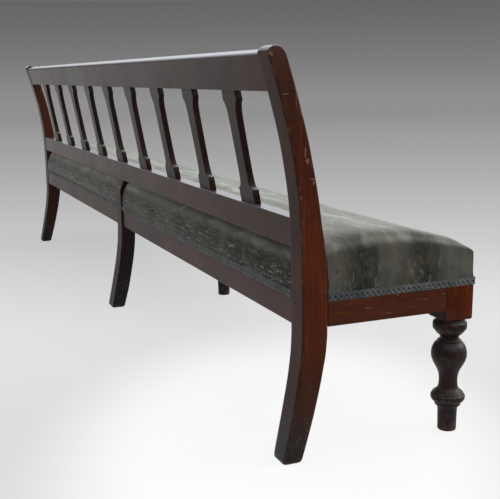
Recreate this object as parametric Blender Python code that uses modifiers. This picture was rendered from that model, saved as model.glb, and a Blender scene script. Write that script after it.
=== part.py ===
"""A long railway station bench: turned front legs, sabre rear legs, a spindled back and a stuffed seat.

Metres, +Z up. X runs along the bench, -Y is its front, and the floor is z = 0.
Every piece is placed from y = 0 at the back of the stiles, and an empty moves the whole bench to its centre.
"""

import math

import bmesh
import bpy
import numpy as np
from mathutils import Matrix, Vector

# Driving sizes
LENGTH = 3.0
HEIGHT = 0.888
SEAT_DEPTH = 0.434
SEAT_CROWN_RISE = 0.133

# Clearances and edges
FIT_GAP = 0.0003
CUT_OVERRUN = 0.006
WELD_DISTANCE = 0.00001
ARRIS = 0.0015
SOFT_ARRIS = 0.003
SHARP_ANGLE = math.radians(40)

# Stiles and middle rear leg, all cut from one template
STILE_THICKNESS = 0.058
STILE_DEPTH = 0.060
STILE_RAKE = 0.0765
STILE_CAP_RISE = 0.011
MIDDLE_LEG_THICKNESS = 0.060
MIDDLE_LEG_DEPTH = 0.050
MIDDLE_LEG_PROUD = 0.004
MIDDLE_LEG_CHAMFER_RISE = 0.036
MIDDLE_LEG_CHAMFER_RUN = 0.014
# Rows of share of the height, share of the rake and share of the depth
STILE_LINE_shares = (
    (0.0, 0.603, 0.758),
    (0.135, 0.278, 0.877),
    (0.225, 0.095, 0.935),
    (0.285, 0.020, 0.985),
    (0.330, 0.0, 1.0),
    (0.435, 0.0, 1.0),
    (0.507, 0.008, 0.955),
    (0.620, 0.058, 0.788),
    (0.766, 0.289, 0.702),
    (0.900, 0.658, 0.672),
    (1.0, 1.0, 0.667),
)

# Front legs
BLOCK_SIDE = 0.073
BLOCK_DROP = 0.026
LEG_RADIUS = 0.0413
# Rows of share of the height under the block and share of the largest radius, top to bottom
LEG_PROFILE_shares = (
    (0.978, 0.80),
    (0.966, 0.90),
    (0.955, 0.945),
    (0.915, 0.945),
    (0.900, 0.90),
    (0.872, 0.78),
    (0.845, 0.54),
    (0.828, 0.49),
    (0.812, 0.52),
    (0.806, 0.66),
    (0.790, 0.735),
    (0.764, 0.86),
    (0.733, 0.947),
    (0.677, 1.0),
    (0.629, 0.935),
    (0.588, 0.81),
    (0.540, 0.632),
    (0.492, 0.542),
    (0.443, 0.518),
    (0.395, 0.547),
    (0.366, 0.64),
    (0.345, 0.80),
    (0.326, 0.92),
    (0.299, 0.968),
    (0.272, 0.92),
    (0.252, 0.80),
    (0.222, 0.665),
    (0.196, 0.60),
    (0.160, 0.563),
    (0.105, 0.542),
    (0.010, 0.530),
    (0.0, 0.50),
)
TURNING_SIDES = 20

# Seat frame
RAIL_UNDERSIDE = 0.299
SHOW_WOOD_HEIGHT = 0.056
REBATED_HEIGHT = 0.027
RAIL_THICKNESS = 0.028
REAR_RAIL_INSET = 0.002
CROSS_RAIL_DROP = 0.012
TENON_THICKNESS = 0.010
TENON_SHOULDER = 0.010
TENON_LENGTH = 0.030
SIDE_TENON_LENGTH = 0.020
MORTISE_SPARE_DEPTH = 0.002

# Back
LOWER_RAIL_CLEARANCE = 0.0018
LOWER_RAIL_HEIGHT = 0.064
LOWER_RAIL_DEPTH = 0.038
CREST_DROP = 0.0145
CREST_HEIGHT = 0.0775
CREST_DEPTH = 0.038
CREST_ROUNDING = 0.008
BACK_RAIL_INSET = 0.0015

# Spindles
SPINDLE_COUNT = 9
SPINDLE_WIDTH = 0.085
SPINDLE_THICKNESS = 0.0165
SPINDLE_TENON_WIDTH = 0.044
SPINDLE_TENON_THICKNESS = 0.009
SPINDLE_TENON_LENGTH = 0.014
# Rows of share of the height from the lower rail and share of the half width
SPINDLE_FOOT_shares = ((0.0, 1.0), (0.128, 0.985))
SPINDLE_SHAFT_shares = (
    (0.136, 0.80),
    (0.150, 0.71),
    (0.170, 0.645),
    (0.210, 0.60),
    (0.300, 0.570),
    (0.450, 0.575),
    (0.600, 0.590),
    (0.720, 0.610),
    (0.800, 0.660),
    (0.850, 0.755),
    (0.885, 0.910),
)
SPINDLE_HEAD_shares = ((0.895, 0.995), (0.925, 1.0), (1.0, 0.955))

# Webbing and hessian
STRAP_WIDTH = 0.050
STRAP_THICKNESS = 0.0015
LONG_STRAP_COUNT = 3
CROSS_STRAP_COUNT = 12
STRAP_LANDING = 0.006
HESSIAN_THICKNESS = 0.001

# Cushion
COVER_REBATE = 0.003
COVER_THICKNESS = 0.0025
SEAT_SIDE_BULGE = 0.0025
END_ROLL_LENGTH = 0.070
END_ROLL_DROP = 0.028
END_FULLNESS = 0.008
END_FULLNESS_REACH = 0.45
SEAT_UNDER_LOWER_RAIL_share = 0.836
# Rows of share of the depth from the back and share of the height from the show wood to the crown
SEAT_SECTION_shares = (
    (0.0, 0.376),
    (0.018, 0.600),
    (0.050, 0.752),
    (0.087, SEAT_UNDER_LOWER_RAIL_share),
    (0.142, 0.898),
    (0.233, 0.955),
    (0.330, 0.990),
    (0.428, 1.0),
    (0.577, 0.974),
    (0.691, 0.915),
    (0.805, 0.828),
    (0.897, 0.735),
    (0.966, 0.635),
    (1.0, 0.526),
)
SEAT_LENGTH_STATION_shares = (0.0, 0.45, 0.72, 0.84, 0.92, 0.955, 0.972, 0.984, 0.992, 0.997)
STRAIGHT_SKIRT_share = 0.27
SEAT_SIDE_STATION_shares = (STRAIGHT_SKIRT_share, 0.50, 0.78)

# Gimp
GIMP_HEIGHT = 0.018
GIMP_THICKNESS = 0.0015

# Corner blocks and their screws
CORNER_BLOCK_REACH = 0.070
CORNER_BLOCK_HEIGHT = 0.045
CORNER_BLOCK_DROP = 0.012
SCREW_HEAD_RADIUS = 0.0045
SCREW_HEAD_HEIGHT = 0.003
SCREW_SHANK_RADIUS = 0.0022
SCREW_POINT = 0.005
SCREW_GRIP_share = 0.35
SCREW_PLACE_share = 0.40
SCREW_BITE = 0.014
SCREW_SLOT_WIDTH = 0.0012
SCREW_SLOT_DEPTH = 0.001
SCREW_SIDES = 12

# Places worked out from the sizes above
HALF_LENGTH = LENGTH / 2
STILE_INNER_FACE = HALF_LENGTH - STILE_THICKNESS
STILE_SHOULDER = HEIGHT - STILE_CAP_RISE
FRONT_FACE = -SEAT_DEPTH
SHOW_WOOD_TOP = RAIL_UNDERSIDE + SHOW_WOOD_HEIGHT
RAIL_TOP = SHOW_WOOD_TOP + REBATED_HEIGHT
CROSS_RAIL_TOP = RAIL_TOP - CROSS_RAIL_DROP
SEAT_CROWN_HEIGHT = SHOW_WOOD_TOP + SEAT_CROWN_RISE
SEAT_UNDER_LOWER_RAIL = SHOW_WOOD_TOP + SEAT_UNDER_LOWER_RAIL_share * SEAT_CROWN_RISE
LOWER_RAIL_UNDERSIDE = SEAT_UNDER_LOWER_RAIL + LOWER_RAIL_CLEARANCE
LOWER_RAIL_TOP = LOWER_RAIL_UNDERSIDE + LOWER_RAIL_HEIGHT
CREST_TOP = HEIGHT - CREST_DROP
CREST_UNDERSIDE = CREST_TOP - CREST_HEIGHT
BLOCK_UNDERSIDE = RAIL_UNDERSIDE - BLOCK_DROP
BLOCK_CENTRE_X = HALF_LENGTH - BLOCK_SIDE / 2
BLOCK_CENTRE_Y = FRONT_FACE + BLOCK_SIDE / 2
BLOCK_BACK_FACE = FRONT_FACE + BLOCK_SIDE
REAR_RAIL_FACE = -REAR_RAIL_INSET
COVER_HALF_LENGTH = HALF_LENGTH - COVER_REBATE + FIT_GAP + COVER_THICKNESS
COVER_FRONT = FRONT_FACE + COVER_REBATE - FIT_GAP - COVER_THICKNESS
COVER_BACK = REAR_RAIL_FACE - COVER_REBATE + FIT_GAP + COVER_THICKNESS
LONG_STRAP_LEVEL = RAIL_TOP + FIT_GAP
CROSS_STRAP_LEVEL = LONG_STRAP_LEVEL + STRAP_THICKNESS + FIT_GAP
HESSIAN_LEVEL = CROSS_STRAP_LEVEL + STRAP_THICKNESS + FIT_GAP
STUFFING_LEVEL = HESSIAN_LEVEL + HESSIAN_THICKNESS + FIT_GAP

RIGHT = Vector((1, 0, 0))
BACKWARD = Vector((0, 1, 0))
UP = Vector((0, 0, 1))


def clear_scene():
    """Removes every object, so that the bench is alone."""
    for old in list(bpy.data.objects):
        bpy.data.objects.remove(old, do_unlink=True)


def new_collection(name, hidden=False):
    """A collection linked to the scene, left out of renders if hidden."""
    collection = bpy.data.collections.new(name)
    collection.hide_render = hidden
    bpy.context.scene.collection.children.link(collection)
    return collection


def finish(name, colour, roughness, metallic=0.0):
    """A material with one colour, roughness and metallic value."""
    material = bpy.data.materials.new(name)
    material.use_nodes = True
    shader = material.node_tree.nodes["Principled BSDF"]
    shader.inputs["Base Color"].default_value = (*colour, 1.0)
    shader.inputs["Roughness"].default_value = roughness
    shader.inputs["Metallic"].default_value = metallic
    return material


clear_scene()
BENCH = new_collection("station_bench")
CUTTERS = new_collection("cutters", hidden=True)
POLISHED_WOOD = finish("polished_mahogany", (0.080, 0.022, 0.012), 0.40)
LEG_WOOD = finish("turned_mahogany", (0.045, 0.018, 0.013), 0.35)
INNER_WOOD = finish("plain_beech", (0.42, 0.27, 0.15), 0.70)
VELVET = finish("figured_velvet", (0.17, 0.19, 0.16), 0.85)
BRAID = finish("gimp_braid", (0.13, 0.16, 0.19), 0.80)
JUTE = finish("jute", (0.36, 0.27, 0.16), 0.90)
HAIR = finish("horsehair", (0.05, 0.04, 0.035), 0.95)
STEEL = finish("screw_steel", (0.35, 0.34, 0.33), 0.45, 1.0)

ROOT = bpy.data.objects.new("bench_origin", None)
BENCH.objects.link(ROOT)


def add(name, mesh, material, place=(0, 0, 0), turn=None, collection=BENCH):
    """An object under the bench's empty, with one material."""
    obj = bpy.data.objects.new(name, mesh)
    collection.objects.link(obj)
    obj.parent = ROOT
    obj.location = place
    if turn is not None:
        obj.rotation_euler = turn.to_euler()
    if not mesh.materials:
        mesh.materials.append(material)
    if collection is CUTTERS:
        obj.hide_render = True
        obj.display_type = "WIRE"
    return obj


def axes(x_axis, y_axis):
    """The turn that lays a flat outline's own X and Y along two directions of the bench."""
    z_axis = x_axis.cross(y_axis)
    return Matrix((x_axis, y_axis, z_axis)).transposed()


SIDEWAYS = axes(BACKWARD, UP)
UPRIGHT = axes(RIGHT, UP)


def mesh_of(obj):
    """A welded copy of an object's evaluated shape, with its faces pointing out."""
    bpy.context.view_layer.update()
    graph = bpy.context.evaluated_depsgraph_get()
    mesh = bpy.data.meshes.new_from_object(obj.evaluated_get(graph))
    work = bmesh.new()
    work.from_mesh(mesh)
    bmesh.ops.remove_doubles(work, verts=work.verts, dist=WELD_DISTANCE)
    bmesh.ops.recalc_face_normals(work, faces=work.faces)
    work.to_mesh(mesh)
    work.free()
    return mesh


def prism_mesh(name, outline, length):
    """A flat outline extruded half its length each way, as a closed mesh."""
    curve = bpy.data.curves.new(name, "CURVE")
    curve.dimensions = "2D"
    curve.fill_mode = "BOTH"
    curve.extrude = length / 2
    spline = curve.splines.new("POLY")
    spline.points.add(len(outline) - 1)
    for point, (x, y) in zip(spline.points, outline):
        point.co = (x, y, 0, 1)
    spline.use_cyclic_u = True
    drawn = bpy.data.objects.new(name, curve)
    bpy.context.scene.collection.objects.link(drawn)
    mesh = mesh_of(drawn)
    bpy.data.objects.remove(drawn, do_unlink=True)
    bpy.data.curves.remove(curve)
    mesh.name = name
    return mesh


def box_mesh(name, size):
    """A box of this size about its own centre."""
    work = bmesh.new()
    bmesh.ops.create_cube(work, size=1.0)
    bmesh.ops.scale(work, vec=size, verts=work.verts)
    mesh = bpy.data.meshes.new(name)
    work.to_mesh(mesh)
    work.free()
    return mesh


def box_between(name, low, high, material, collection=BENCH):
    """A box from its lowest to its highest corner."""
    low = Vector(low)
    high = Vector(high)
    return add(name, box_mesh(name, high - low), material, (low + high) / 2, None, collection)


def soften(obj, width=ARRIS, segments=1):
    """Takes the sharp arris off an object's outward edges, and leaves its inner corners square."""
    work = bmesh.new()
    work.from_mesh(obj.data)
    weight = work.edges.layers.float.new("bevel_weight_edge")
    for edge in work.edges:
        if edge.is_convex and edge.calc_face_angle(0.0) > SHARP_ANGLE:
            edge[weight] = 1.0
    work.to_mesh(obj.data)
    work.free()
    bevel = obj.modifiers.new("arris", "BEVEL")
    bevel.width = width
    bevel.segments = segments
    bevel.limit_method = "WEIGHT"


def boolean(obj, other, operation):
    """Cuts the other object from this one, or joins it on."""
    modifier = obj.modifiers.new(other.name, "BOOLEAN")
    modifier.object = other
    modifier.operation = operation
    modifier.solver = "EXACT"


def cut(obj, cutter):
    """Cuts the cutter's shape from the object."""
    boolean(obj, cutter, "DIFFERENCE")


def join(obj, other):
    """Joins the other shape to the object."""
    boolean(obj, other, "UNION")


def join_meshes(name, meshes_and_turns):
    """One mesh that holds several separate closed bodies."""
    work = bmesh.new()
    for mesh, matrix in meshes_and_turns:
        piece = bmesh.new()
        piece.from_mesh(mesh)
        bmesh.ops.transform(piece, matrix=matrix, verts=piece.verts)
        placed = bpy.data.meshes.new("placed")
        piece.to_mesh(placed)
        piece.free()
        work.from_mesh(placed)
        bpy.data.meshes.remove(placed)
    joined = bpy.data.meshes.new(name)
    work.to_mesh(joined)
    work.free()
    return joined


def round_smooth(mesh):
    """Shades a turned shape smooth, with its crisp edges kept."""
    mesh.shade_smooth()
    mesh.set_sharp_from_angle(angle=SHARP_ANGLE)


def smooth_value(rows, place):
    """The second column of the rows at places in the first, along a curve that never overshoots them."""
    xs, ys = np.array(rows, float)[:, :2].T
    steps = np.diff(xs)
    rises = np.diff(ys) / steps
    slopes = np.zeros(len(xs))
    before = 2 * steps[1:] + steps[:-1]
    after = steps[1:] + 2 * steps[:-1]
    with np.errstate(divide="ignore", invalid="ignore"):
        mean = (before + after) / (before / rises[:-1] + after / rises[1:])
    slopes[1:-1] = np.where(rises[:-1] * rises[1:] > 0, mean, 0.0)
    slopes[0] = rises[0]
    slopes[-1] = rises[-1]
    index = np.clip(np.searchsorted(xs, place, "right") - 1, 0, len(steps) - 1)
    t = (place - xs[index]) / steps[index]
    start = (1 + 2 * t) * (1 - t) ** 2 * ys[index] + t * (1 - t) ** 2 * steps[index] * slopes[index]
    end = t**2 * (3 - 2 * t) * ys[index + 1] + t**2 * (t - 1) * steps[index] * slopes[index + 1]
    return start + end


def stile_back(height):
    """How far behind the seat joint the template's back edge is at a height."""
    rows = [(row[0], row[1]) for row in STILE_LINE_shares]
    return STILE_RAKE * smooth_value(rows, np.asarray(height) / STILE_SHOULDER)


def stile_front(height):
    """The place of the template's front edge at a height."""
    rows = [(row[0], row[2]) for row in STILE_LINE_shares]
    return stile_back(height) - STILE_DEPTH * smooth_value(rows, np.asarray(height) / STILE_SHOULDER)


def middle_leg_front(height):
    """The middle leg's front edge: the template's, planed back where that is deeper than this leg."""
    return np.maximum(stile_front(height), stile_back(height) - MIDDLE_LEG_DEPTH)


def edge_points(line, start, end, count):
    """Points up one edge of the template."""
    heights = np.linspace(start, end, count)
    return [(float(line(height)), float(height)) for height in heights]


def stile_outline():
    """The end stile from foot to rounded top."""
    back = edge_points(stile_back, 0.0, STILE_SHOULDER, 23)
    front = edge_points(stile_front, 0.0, STILE_SHOULDER, 23)
    middle = (back[-1][0] + front[-1][0]) / 2
    half_depth = (back[-1][0] - front[-1][0]) / 2
    cap = [
        (middle + half_depth * math.cos(angle), STILE_SHOULDER + STILE_CAP_RISE * math.sin(angle))
        for angle in np.linspace(0, math.pi, 9)[1:-1]
    ]
    return back + cap + front[::-1]


def middle_leg_outline():
    """The middle rear leg, which ends in a slanted chamfer under the lower back rail."""
    top = LOWER_RAIL_UNDERSIDE - FIT_GAP
    chamfer_start = top - MIDDLE_LEG_CHAMFER_RISE
    back = edge_points(stile_back, 0.0, chamfer_start, 15)
    front = edge_points(middle_leg_front, 0.0, top, 16)
    chamfer_end = (back[-1][0] - MIDDLE_LEG_CHAMFER_RUN, top)
    return back + [chamfer_end] + front[::-1]


def stiles():
    """The two end stiles, on the faces of the bench's ends."""
    made = {}
    for name, side in (("left_stile", -1), ("right_stile", 1)):
        mesh = prism_mesh(name, stile_outline(), STILE_THICKNESS)
        place = (side * (HALF_LENGTH - STILE_THICKNESS / 2), 0, 0)
        made[side] = add(name, mesh, POLISHED_WOOD, place, SIDEWAYS)
        soften(made[side], SOFT_ARRIS, 2)
    return made


def middle_rear_leg():
    """The leg under the middle of the back."""
    mesh = prism_mesh("middle_rear_leg", middle_leg_outline(), MIDDLE_LEG_THICKNESS)
    leg = add("middle_rear_leg", mesh, POLISHED_WOOD, (0, MIDDLE_LEG_PROUD, 0), SIDEWAYS)
    soften(leg)
    return leg


def turned(name, profile, sides):
    """A turned shape from its (height, radius) profile, top to bottom, closed on its axis."""
    work = bmesh.new()
    points = [work.verts.new((radius, 0, height)) for height, radius in profile]
    for upper, lower in zip(points, points[1:]):
        work.edges.new((upper, lower))
    outline = bpy.data.meshes.new(name)
    work.to_mesh(outline)
    work.free()
    drawn = bpy.data.objects.new(name, outline)
    bpy.context.scene.collection.objects.link(drawn)
    screw = drawn.modifiers.new("turning", "SCREW")
    screw.steps = sides
    screw.render_steps = sides
    screw.use_merge_vertices = True
    screw.merge_threshold = WELD_DISTANCE
    mesh = mesh_of(drawn)
    bpy.data.objects.remove(drawn, do_unlink=True)
    round_smooth(mesh)
    return mesh


def leg_profile():
    """The turned part of a front leg, whose spigot runs up into the block."""
    rows = [(height * BLOCK_UNDERSIDE, radius * LEG_RADIUS) for height, radius in LEG_PROFILE_shares]
    spigot_top = BLOCK_UNDERSIDE + CUT_OVERRUN
    return [(spigot_top, 0.0), (spigot_top, rows[0][1])] + rows + [(0.0, 0.0)]


def front_legs():
    """Three legs, each a square block over a turned leg. The block's outer faces are rebated for the cover."""
    made = {}
    turning = turned("leg_turning", leg_profile(), TURNING_SIDES)
    for name, side in (("left_front_leg", -1), ("middle_front_leg", 0), ("right_front_leg", 1)):
        centre_x = side * BLOCK_CENTRE_X
        low_x = centre_x - BLOCK_SIDE / 2
        high_x = centre_x + BLOCK_SIDE / 2
        leg = box_between(
            name,
            (low_x, FRONT_FACE, BLOCK_UNDERSIDE),
            (high_x, BLOCK_BACK_FACE, SHOW_WOOD_TOP),
            LEG_WOOD,
        )
        soften(leg)
        upper_low_x = low_x + COVER_REBATE * (side == -1)
        upper_high_x = high_x - COVER_REBATE * (side == 1)
        upper = box_between(
            f"{name}_upper_block",
            (upper_low_x, FRONT_FACE + COVER_REBATE, SHOW_WOOD_TOP - CUT_OVERRUN),
            (upper_high_x, BLOCK_BACK_FACE, RAIL_TOP),
            LEG_WOOD,
            CUTTERS,
        )
        lower = add(f"{name}_turning", turning, LEG_WOOD, (centre_x, BLOCK_CENTRE_Y, 0), None, CUTTERS)
        join(leg, upper)
        join(leg, lower)
        made[side] = leg
    return made


def rail_section():
    """A seat rail's section: its outer face at 0, and a rebate above the show wood for the cover."""
    show = SHOW_WOOD_TOP - RAIL_UNDERSIDE
    full = RAIL_TOP - RAIL_UNDERSIDE
    return [
        (0, 0),
        (0, show),
        (-COVER_REBATE, show),
        (-COVER_REBATE, full),
        (-RAIL_THICKNESS, full),
        (-RAIL_THICKNESS, 0),
    ]


def seat_rail(name, outward, face_centre, length):
    """A seat rail whose outer face looks along outward."""
    mesh = prism_mesh(name, rail_section(), length)
    place = (face_centre[0], face_centre[1], RAIL_UNDERSIDE)
    rail = add(name, mesh, POLISHED_WOOD, place, axes(outward, UP))
    soften(rail)
    return rail


def tenon(rail, host, low, high, direction):
    """Joins a tenon to a rail and cuts its mortise in the host. The box is the tenon past the rail's shoulder."""
    low = Vector(low)
    high = Vector(high)
    forward = direction * (MORTISE_SPARE_DEPTH + FIT_GAP)
    clearance = Vector((FIT_GAP, FIT_GAP, FIT_GAP)) - FIT_GAP * Vector(map(abs, direction))
    backward = -direction * CUT_OVERRUN
    label = f"{rail.name}_into_{host.name}"
    tongue_low = Vector(map(min, low, low + backward))
    tongue_high = Vector(map(max, high, high + backward))
    tongue = box_between(f"{label}_tenon", tongue_low, tongue_high, INNER_WOOD, CUTTERS)
    join(rail, tongue)
    slot_low = Vector(map(min, tongue_low - clearance, tongue_low - clearance + forward))
    slot_high = Vector(map(max, tongue_high + clearance, tongue_high + clearance + forward))
    cut(host, box_between(f"{label}_mortise", slot_low, slot_high, INNER_WOOD, CUTTERS))


def long_rail_tenons(rail, hosts, shoulders, centre_y, low_z, high_z):
    """Tenons at both ends of a rail that runs along the bench."""
    low_y = centre_y - TENON_THICKNESS / 2
    high_y = centre_y + TENON_THICKNESS / 2
    left, right = shoulders
    tenon(
        rail, hosts[0], (left - TENON_LENGTH, low_y, low_z), (left, high_y, high_z), -RIGHT
    )
    tenon(
        rail, hosts[1], (right, low_y, low_z), (right + TENON_LENGTH, high_y, high_z), RIGHT
    )


def rear_and_front_rails(end_stiles, middle_leg, legs):
    """Two rear rails and two front rails, one to each side of the middle legs."""
    made = []
    low_z = RAIL_UNDERSIDE + TENON_SHOULDER
    high_z = RAIL_TOP - TENON_SHOULDER
    middle_edge = MIDDLE_LEG_THICKNESS / 2 + FIT_GAP
    stile_edge = STILE_INNER_FACE - FIT_GAP
    block_edge = BLOCK_SIDE / 2 + FIT_GAP
    end_block_edge = BLOCK_CENTRE_X - BLOCK_SIDE / 2 - FIT_GAP
    for word, side in (("left", -1), ("right", 1)):
        ends = sorted((side * middle_edge, side * stile_edge))
        rail = seat_rail(
            f"rear_seat_rail_{word}", BACKWARD, (sum(ends) / 2, REAR_RAIL_FACE), ends[1] - ends[0]
        )
        hosts = (end_stiles[-1], middle_leg) if side < 0 else (middle_leg, end_stiles[1])
        long_rail_tenons(rail, hosts, ends, REAR_RAIL_FACE - RAIL_THICKNESS / 2, low_z, high_z)
        made.append(rail)

        ends = sorted((side * block_edge, side * end_block_edge))
        rail = seat_rail(
            f"front_seat_rail_{word}", -BACKWARD, (sum(ends) / 2, FRONT_FACE), ends[1] - ends[0]
        )
        hosts = (legs[-1], legs[0]) if side < 0 else (legs[0], legs[1])
        long_rail_tenons(rail, hosts, ends, FRONT_FACE + RAIL_THICKNESS / 2, low_z, high_z)
        made.append(rail)
    return made


def side_rails(end_stiles, legs):
    """The rails across the bench's ends, flush with the blocks' outer faces."""
    made = []
    back_end = -STILE_DEPTH - FIT_GAP
    front_end = BLOCK_BACK_FACE + FIT_GAP
    low_z = RAIL_UNDERSIDE + TENON_SHOULDER
    high_z = RAIL_TOP - TENON_SHOULDER
    for word, side in (("left", -1), ("right", 1)):
        rail = seat_rail(
            f"side_seat_rail_{word}",
            side * RIGHT,
            (side * HALF_LENGTH, (back_end + front_end) / 2),
            back_end - front_end,
        )
        centre_x = side * (HALF_LENGTH - COVER_REBATE - TENON_THICKNESS / 2 - COVER_REBATE)
        low_x = centre_x - TENON_THICKNESS / 2
        high_x = centre_x + TENON_THICKNESS / 2
        tenon(
            rail,
            end_stiles[side],
            (low_x, back_end, low_z),
            (high_x, back_end + SIDE_TENON_LENGTH, high_z),
            BACKWARD,
        )
        tenon(
            rail,
            legs[side],
            (low_x, front_end - SIDE_TENON_LENGTH, low_z),
            (high_x, front_end, high_z),
            -BACKWARD,
        )
        made.append(rail)
    return made


def cross_rail(middle_leg, leg):
    """The rail under the middle of the seat, from the middle front leg to the middle rear leg."""
    back_end = -MIDDLE_LEG_DEPTH + MIDDLE_LEG_PROUD - FIT_GAP
    front_end = BLOCK_BACK_FACE + FIT_GAP
    half = RAIL_THICKNESS / 2
    rail = box_between(
        "middle_cross_rail",
        (-half, front_end, RAIL_UNDERSIDE),
        (half, back_end, CROSS_RAIL_TOP),
        INNER_WOOD,
    )
    soften(rail)
    half = TENON_THICKNESS / 2
    low_z = RAIL_UNDERSIDE + TENON_SHOULDER
    high_z = CROSS_RAIL_TOP - TENON_SHOULDER
    back_tip = back_end + SIDE_TENON_LENGTH
    front_tip = front_end - SIDE_TENON_LENGTH
    tenon(rail, middle_leg, (-half, back_end, low_z), (half, back_tip, high_z), BACKWARD)
    tenon(rail, leg, (-half, front_tip, low_z), (half, front_end, high_z), -BACKWARD)


def back_plane(height):
    """The place of the back rails' rear faces at a height."""
    return float(stile_back(height)) - BACK_RAIL_INSET


def crest_slope():
    """The direction up the crest rail's back face."""
    rise = Vector((0, back_plane(CREST_TOP) - back_plane(CREST_UNDERSIDE), CREST_TOP - CREST_UNDERSIDE))
    return rise.normalized()


def rail_centre_line():
    """The points where the spindles' middle plane meets the lower rail's top and the crest's underside."""
    slope = crest_slope()
    forward = Vector((0, -slope.z, slope.y))
    low = Vector((0, back_plane(LOWER_RAIL_TOP) - LOWER_RAIL_DEPTH / 2, LOWER_RAIL_TOP))
    crest_corner = Vector((0, back_plane(CREST_UNDERSIDE), CREST_UNDERSIDE))
    return low, crest_corner + forward * (CREST_DEPTH / 2)


def lower_rail_outline():
    """The lower back rail's section, with its back face along the stiles' curve."""
    back = edge_points(back_plane, LOWER_RAIL_UNDERSIDE, LOWER_RAIL_TOP, 2)
    front = [(y - LOWER_RAIL_DEPTH, z) for y, z in back]
    return back + front[::-1]


def crest_outline():
    """The crest rail's section, leaning with the stiles, with its top edges rounded."""
    slope = crest_slope()
    forward = Vector((0, -slope.z, slope.y))
    height = (CREST_TOP - CREST_UNDERSIDE) / slope.z
    corner = Vector((0, back_plane(CREST_UNDERSIDE), CREST_UNDERSIDE))
    points = [corner]
    turn = CREST_ROUNDING
    for along, across, start in (
        (height - turn, turn, -math.pi / 2),
        (height - turn, CREST_DEPTH - turn, 0.0),
    ):
        centre = corner + slope * along + forward * across
        for angle in np.linspace(start, start + math.pi / 2, 5):
            points.append(centre + (slope * math.cos(angle) + forward * math.sin(angle)) * turn)
    points.append(corner + forward * CREST_DEPTH)
    return [(point.y, point.z) for point in points]


def back_rails(end_stiles):
    """The crest rail and the lower back rail, tenoned between the stiles."""
    clear_length = 2 * (STILE_INNER_FACE - FIT_GAP)
    ends = (-clear_length / 2, clear_length / 2)
    hosts = (end_stiles[-1], end_stiles[1])

    lower = add(
        "lower_back_rail",
        prism_mesh("lower_back_rail", lower_rail_outline(), clear_length),
        POLISHED_WOOD,
        (0, 0, 0),
        SIDEWAYS,
    )
    soften(lower)
    centre_y = back_plane(LOWER_RAIL_TOP) - LOWER_RAIL_DEPTH / 2
    low_z = LOWER_RAIL_UNDERSIDE + TENON_SHOULDER
    high_z = LOWER_RAIL_TOP - TENON_SHOULDER
    long_rail_tenons(lower, hosts, ends, centre_y, low_z, high_z)

    crest = add(
        "crest_rail",
        prism_mesh("crest_rail", crest_outline(), clear_length),
        POLISHED_WOOD,
        (0, 0, 0),
        SIDEWAYS,
    )
    soften(crest)
    middle = (CREST_UNDERSIDE + CREST_TOP) / 2
    centre_y = back_plane(middle) - CREST_DEPTH / 2
    low_z = CREST_UNDERSIDE + TENON_SHOULDER * 2
    high_z = CREST_TOP - TENON_SHOULDER * 2
    long_rail_tenons(crest, hosts, ends, centre_y, low_z, high_z)
    return lower, crest


def middle_leg_stub(middle_leg, lower):
    """The middle leg's stub tenon, up into the lower back rail."""
    centre_y = back_plane(LOWER_RAIL_UNDERSIDE) - LOWER_RAIL_DEPTH / 2
    half_width = MIDDLE_LEG_THICKNESS / 2 - TENON_SHOULDER
    half_depth = TENON_THICKNESS / 2
    bottom = LOWER_RAIL_UNDERSIDE - FIT_GAP
    tenon(
        middle_leg,
        lower,
        (-half_width, centre_y - half_depth, bottom),
        (half_width, centre_y + half_depth, bottom + SIDE_TENON_LENGTH),
        UP,
    )


def spindle_edge():
    """One edge of the spindle: (height share, half width share) from the foot block up to the head."""
    shaft = []
    first = SPINDLE_SHAFT_shares[0][0]
    last = SPINDLE_SHAFT_shares[-1][0]
    for share in np.linspace(first, last, 16):
        shaft.append((float(share), float(smooth_value(SPINDLE_SHAFT_shares, share))))
    return list(SPINDLE_FOOT_shares) + shaft + list(SPINDLE_HEAD_shares)


def spindle_mesh(length):
    """A flat sawn spindle with its foot's middle at the origin, its height along Z and its back towards +Y."""
    half = SPINDLE_WIDTH / 2
    edge = [(width * half, height * length) for height, width in spindle_edge()]
    over = SPINDLE_THICKNESS
    edge = [(edge[0][0], -over)] + edge + [(edge[-1][0], length + over)]
    outline = edge + [(-x, z) for x, z in reversed(edge)]
    mesh = prism_mesh("back_spindle", outline, SPINDLE_THICKNESS)
    mesh.transform(UPRIGHT.to_4x4())
    return mesh


def trimmed(mesh, point, outward):
    """The mesh without what lies past a plane, with the cut closed."""
    work = bmesh.new()
    work.from_mesh(mesh)
    everything = work.verts[:] + work.edges[:] + work.faces[:]
    bmesh.ops.bisect_plane(
        work, geom=everything, plane_co=point, plane_no=outward, clear_outer=True
    )
    rims = [edge for edge in work.edges if edge.is_boundary]
    bmesh.ops.holes_fill(work, edges=rims)
    bmesh.ops.recalc_face_normals(work, faces=work.faces)
    work.to_mesh(mesh)
    work.free()


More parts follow.
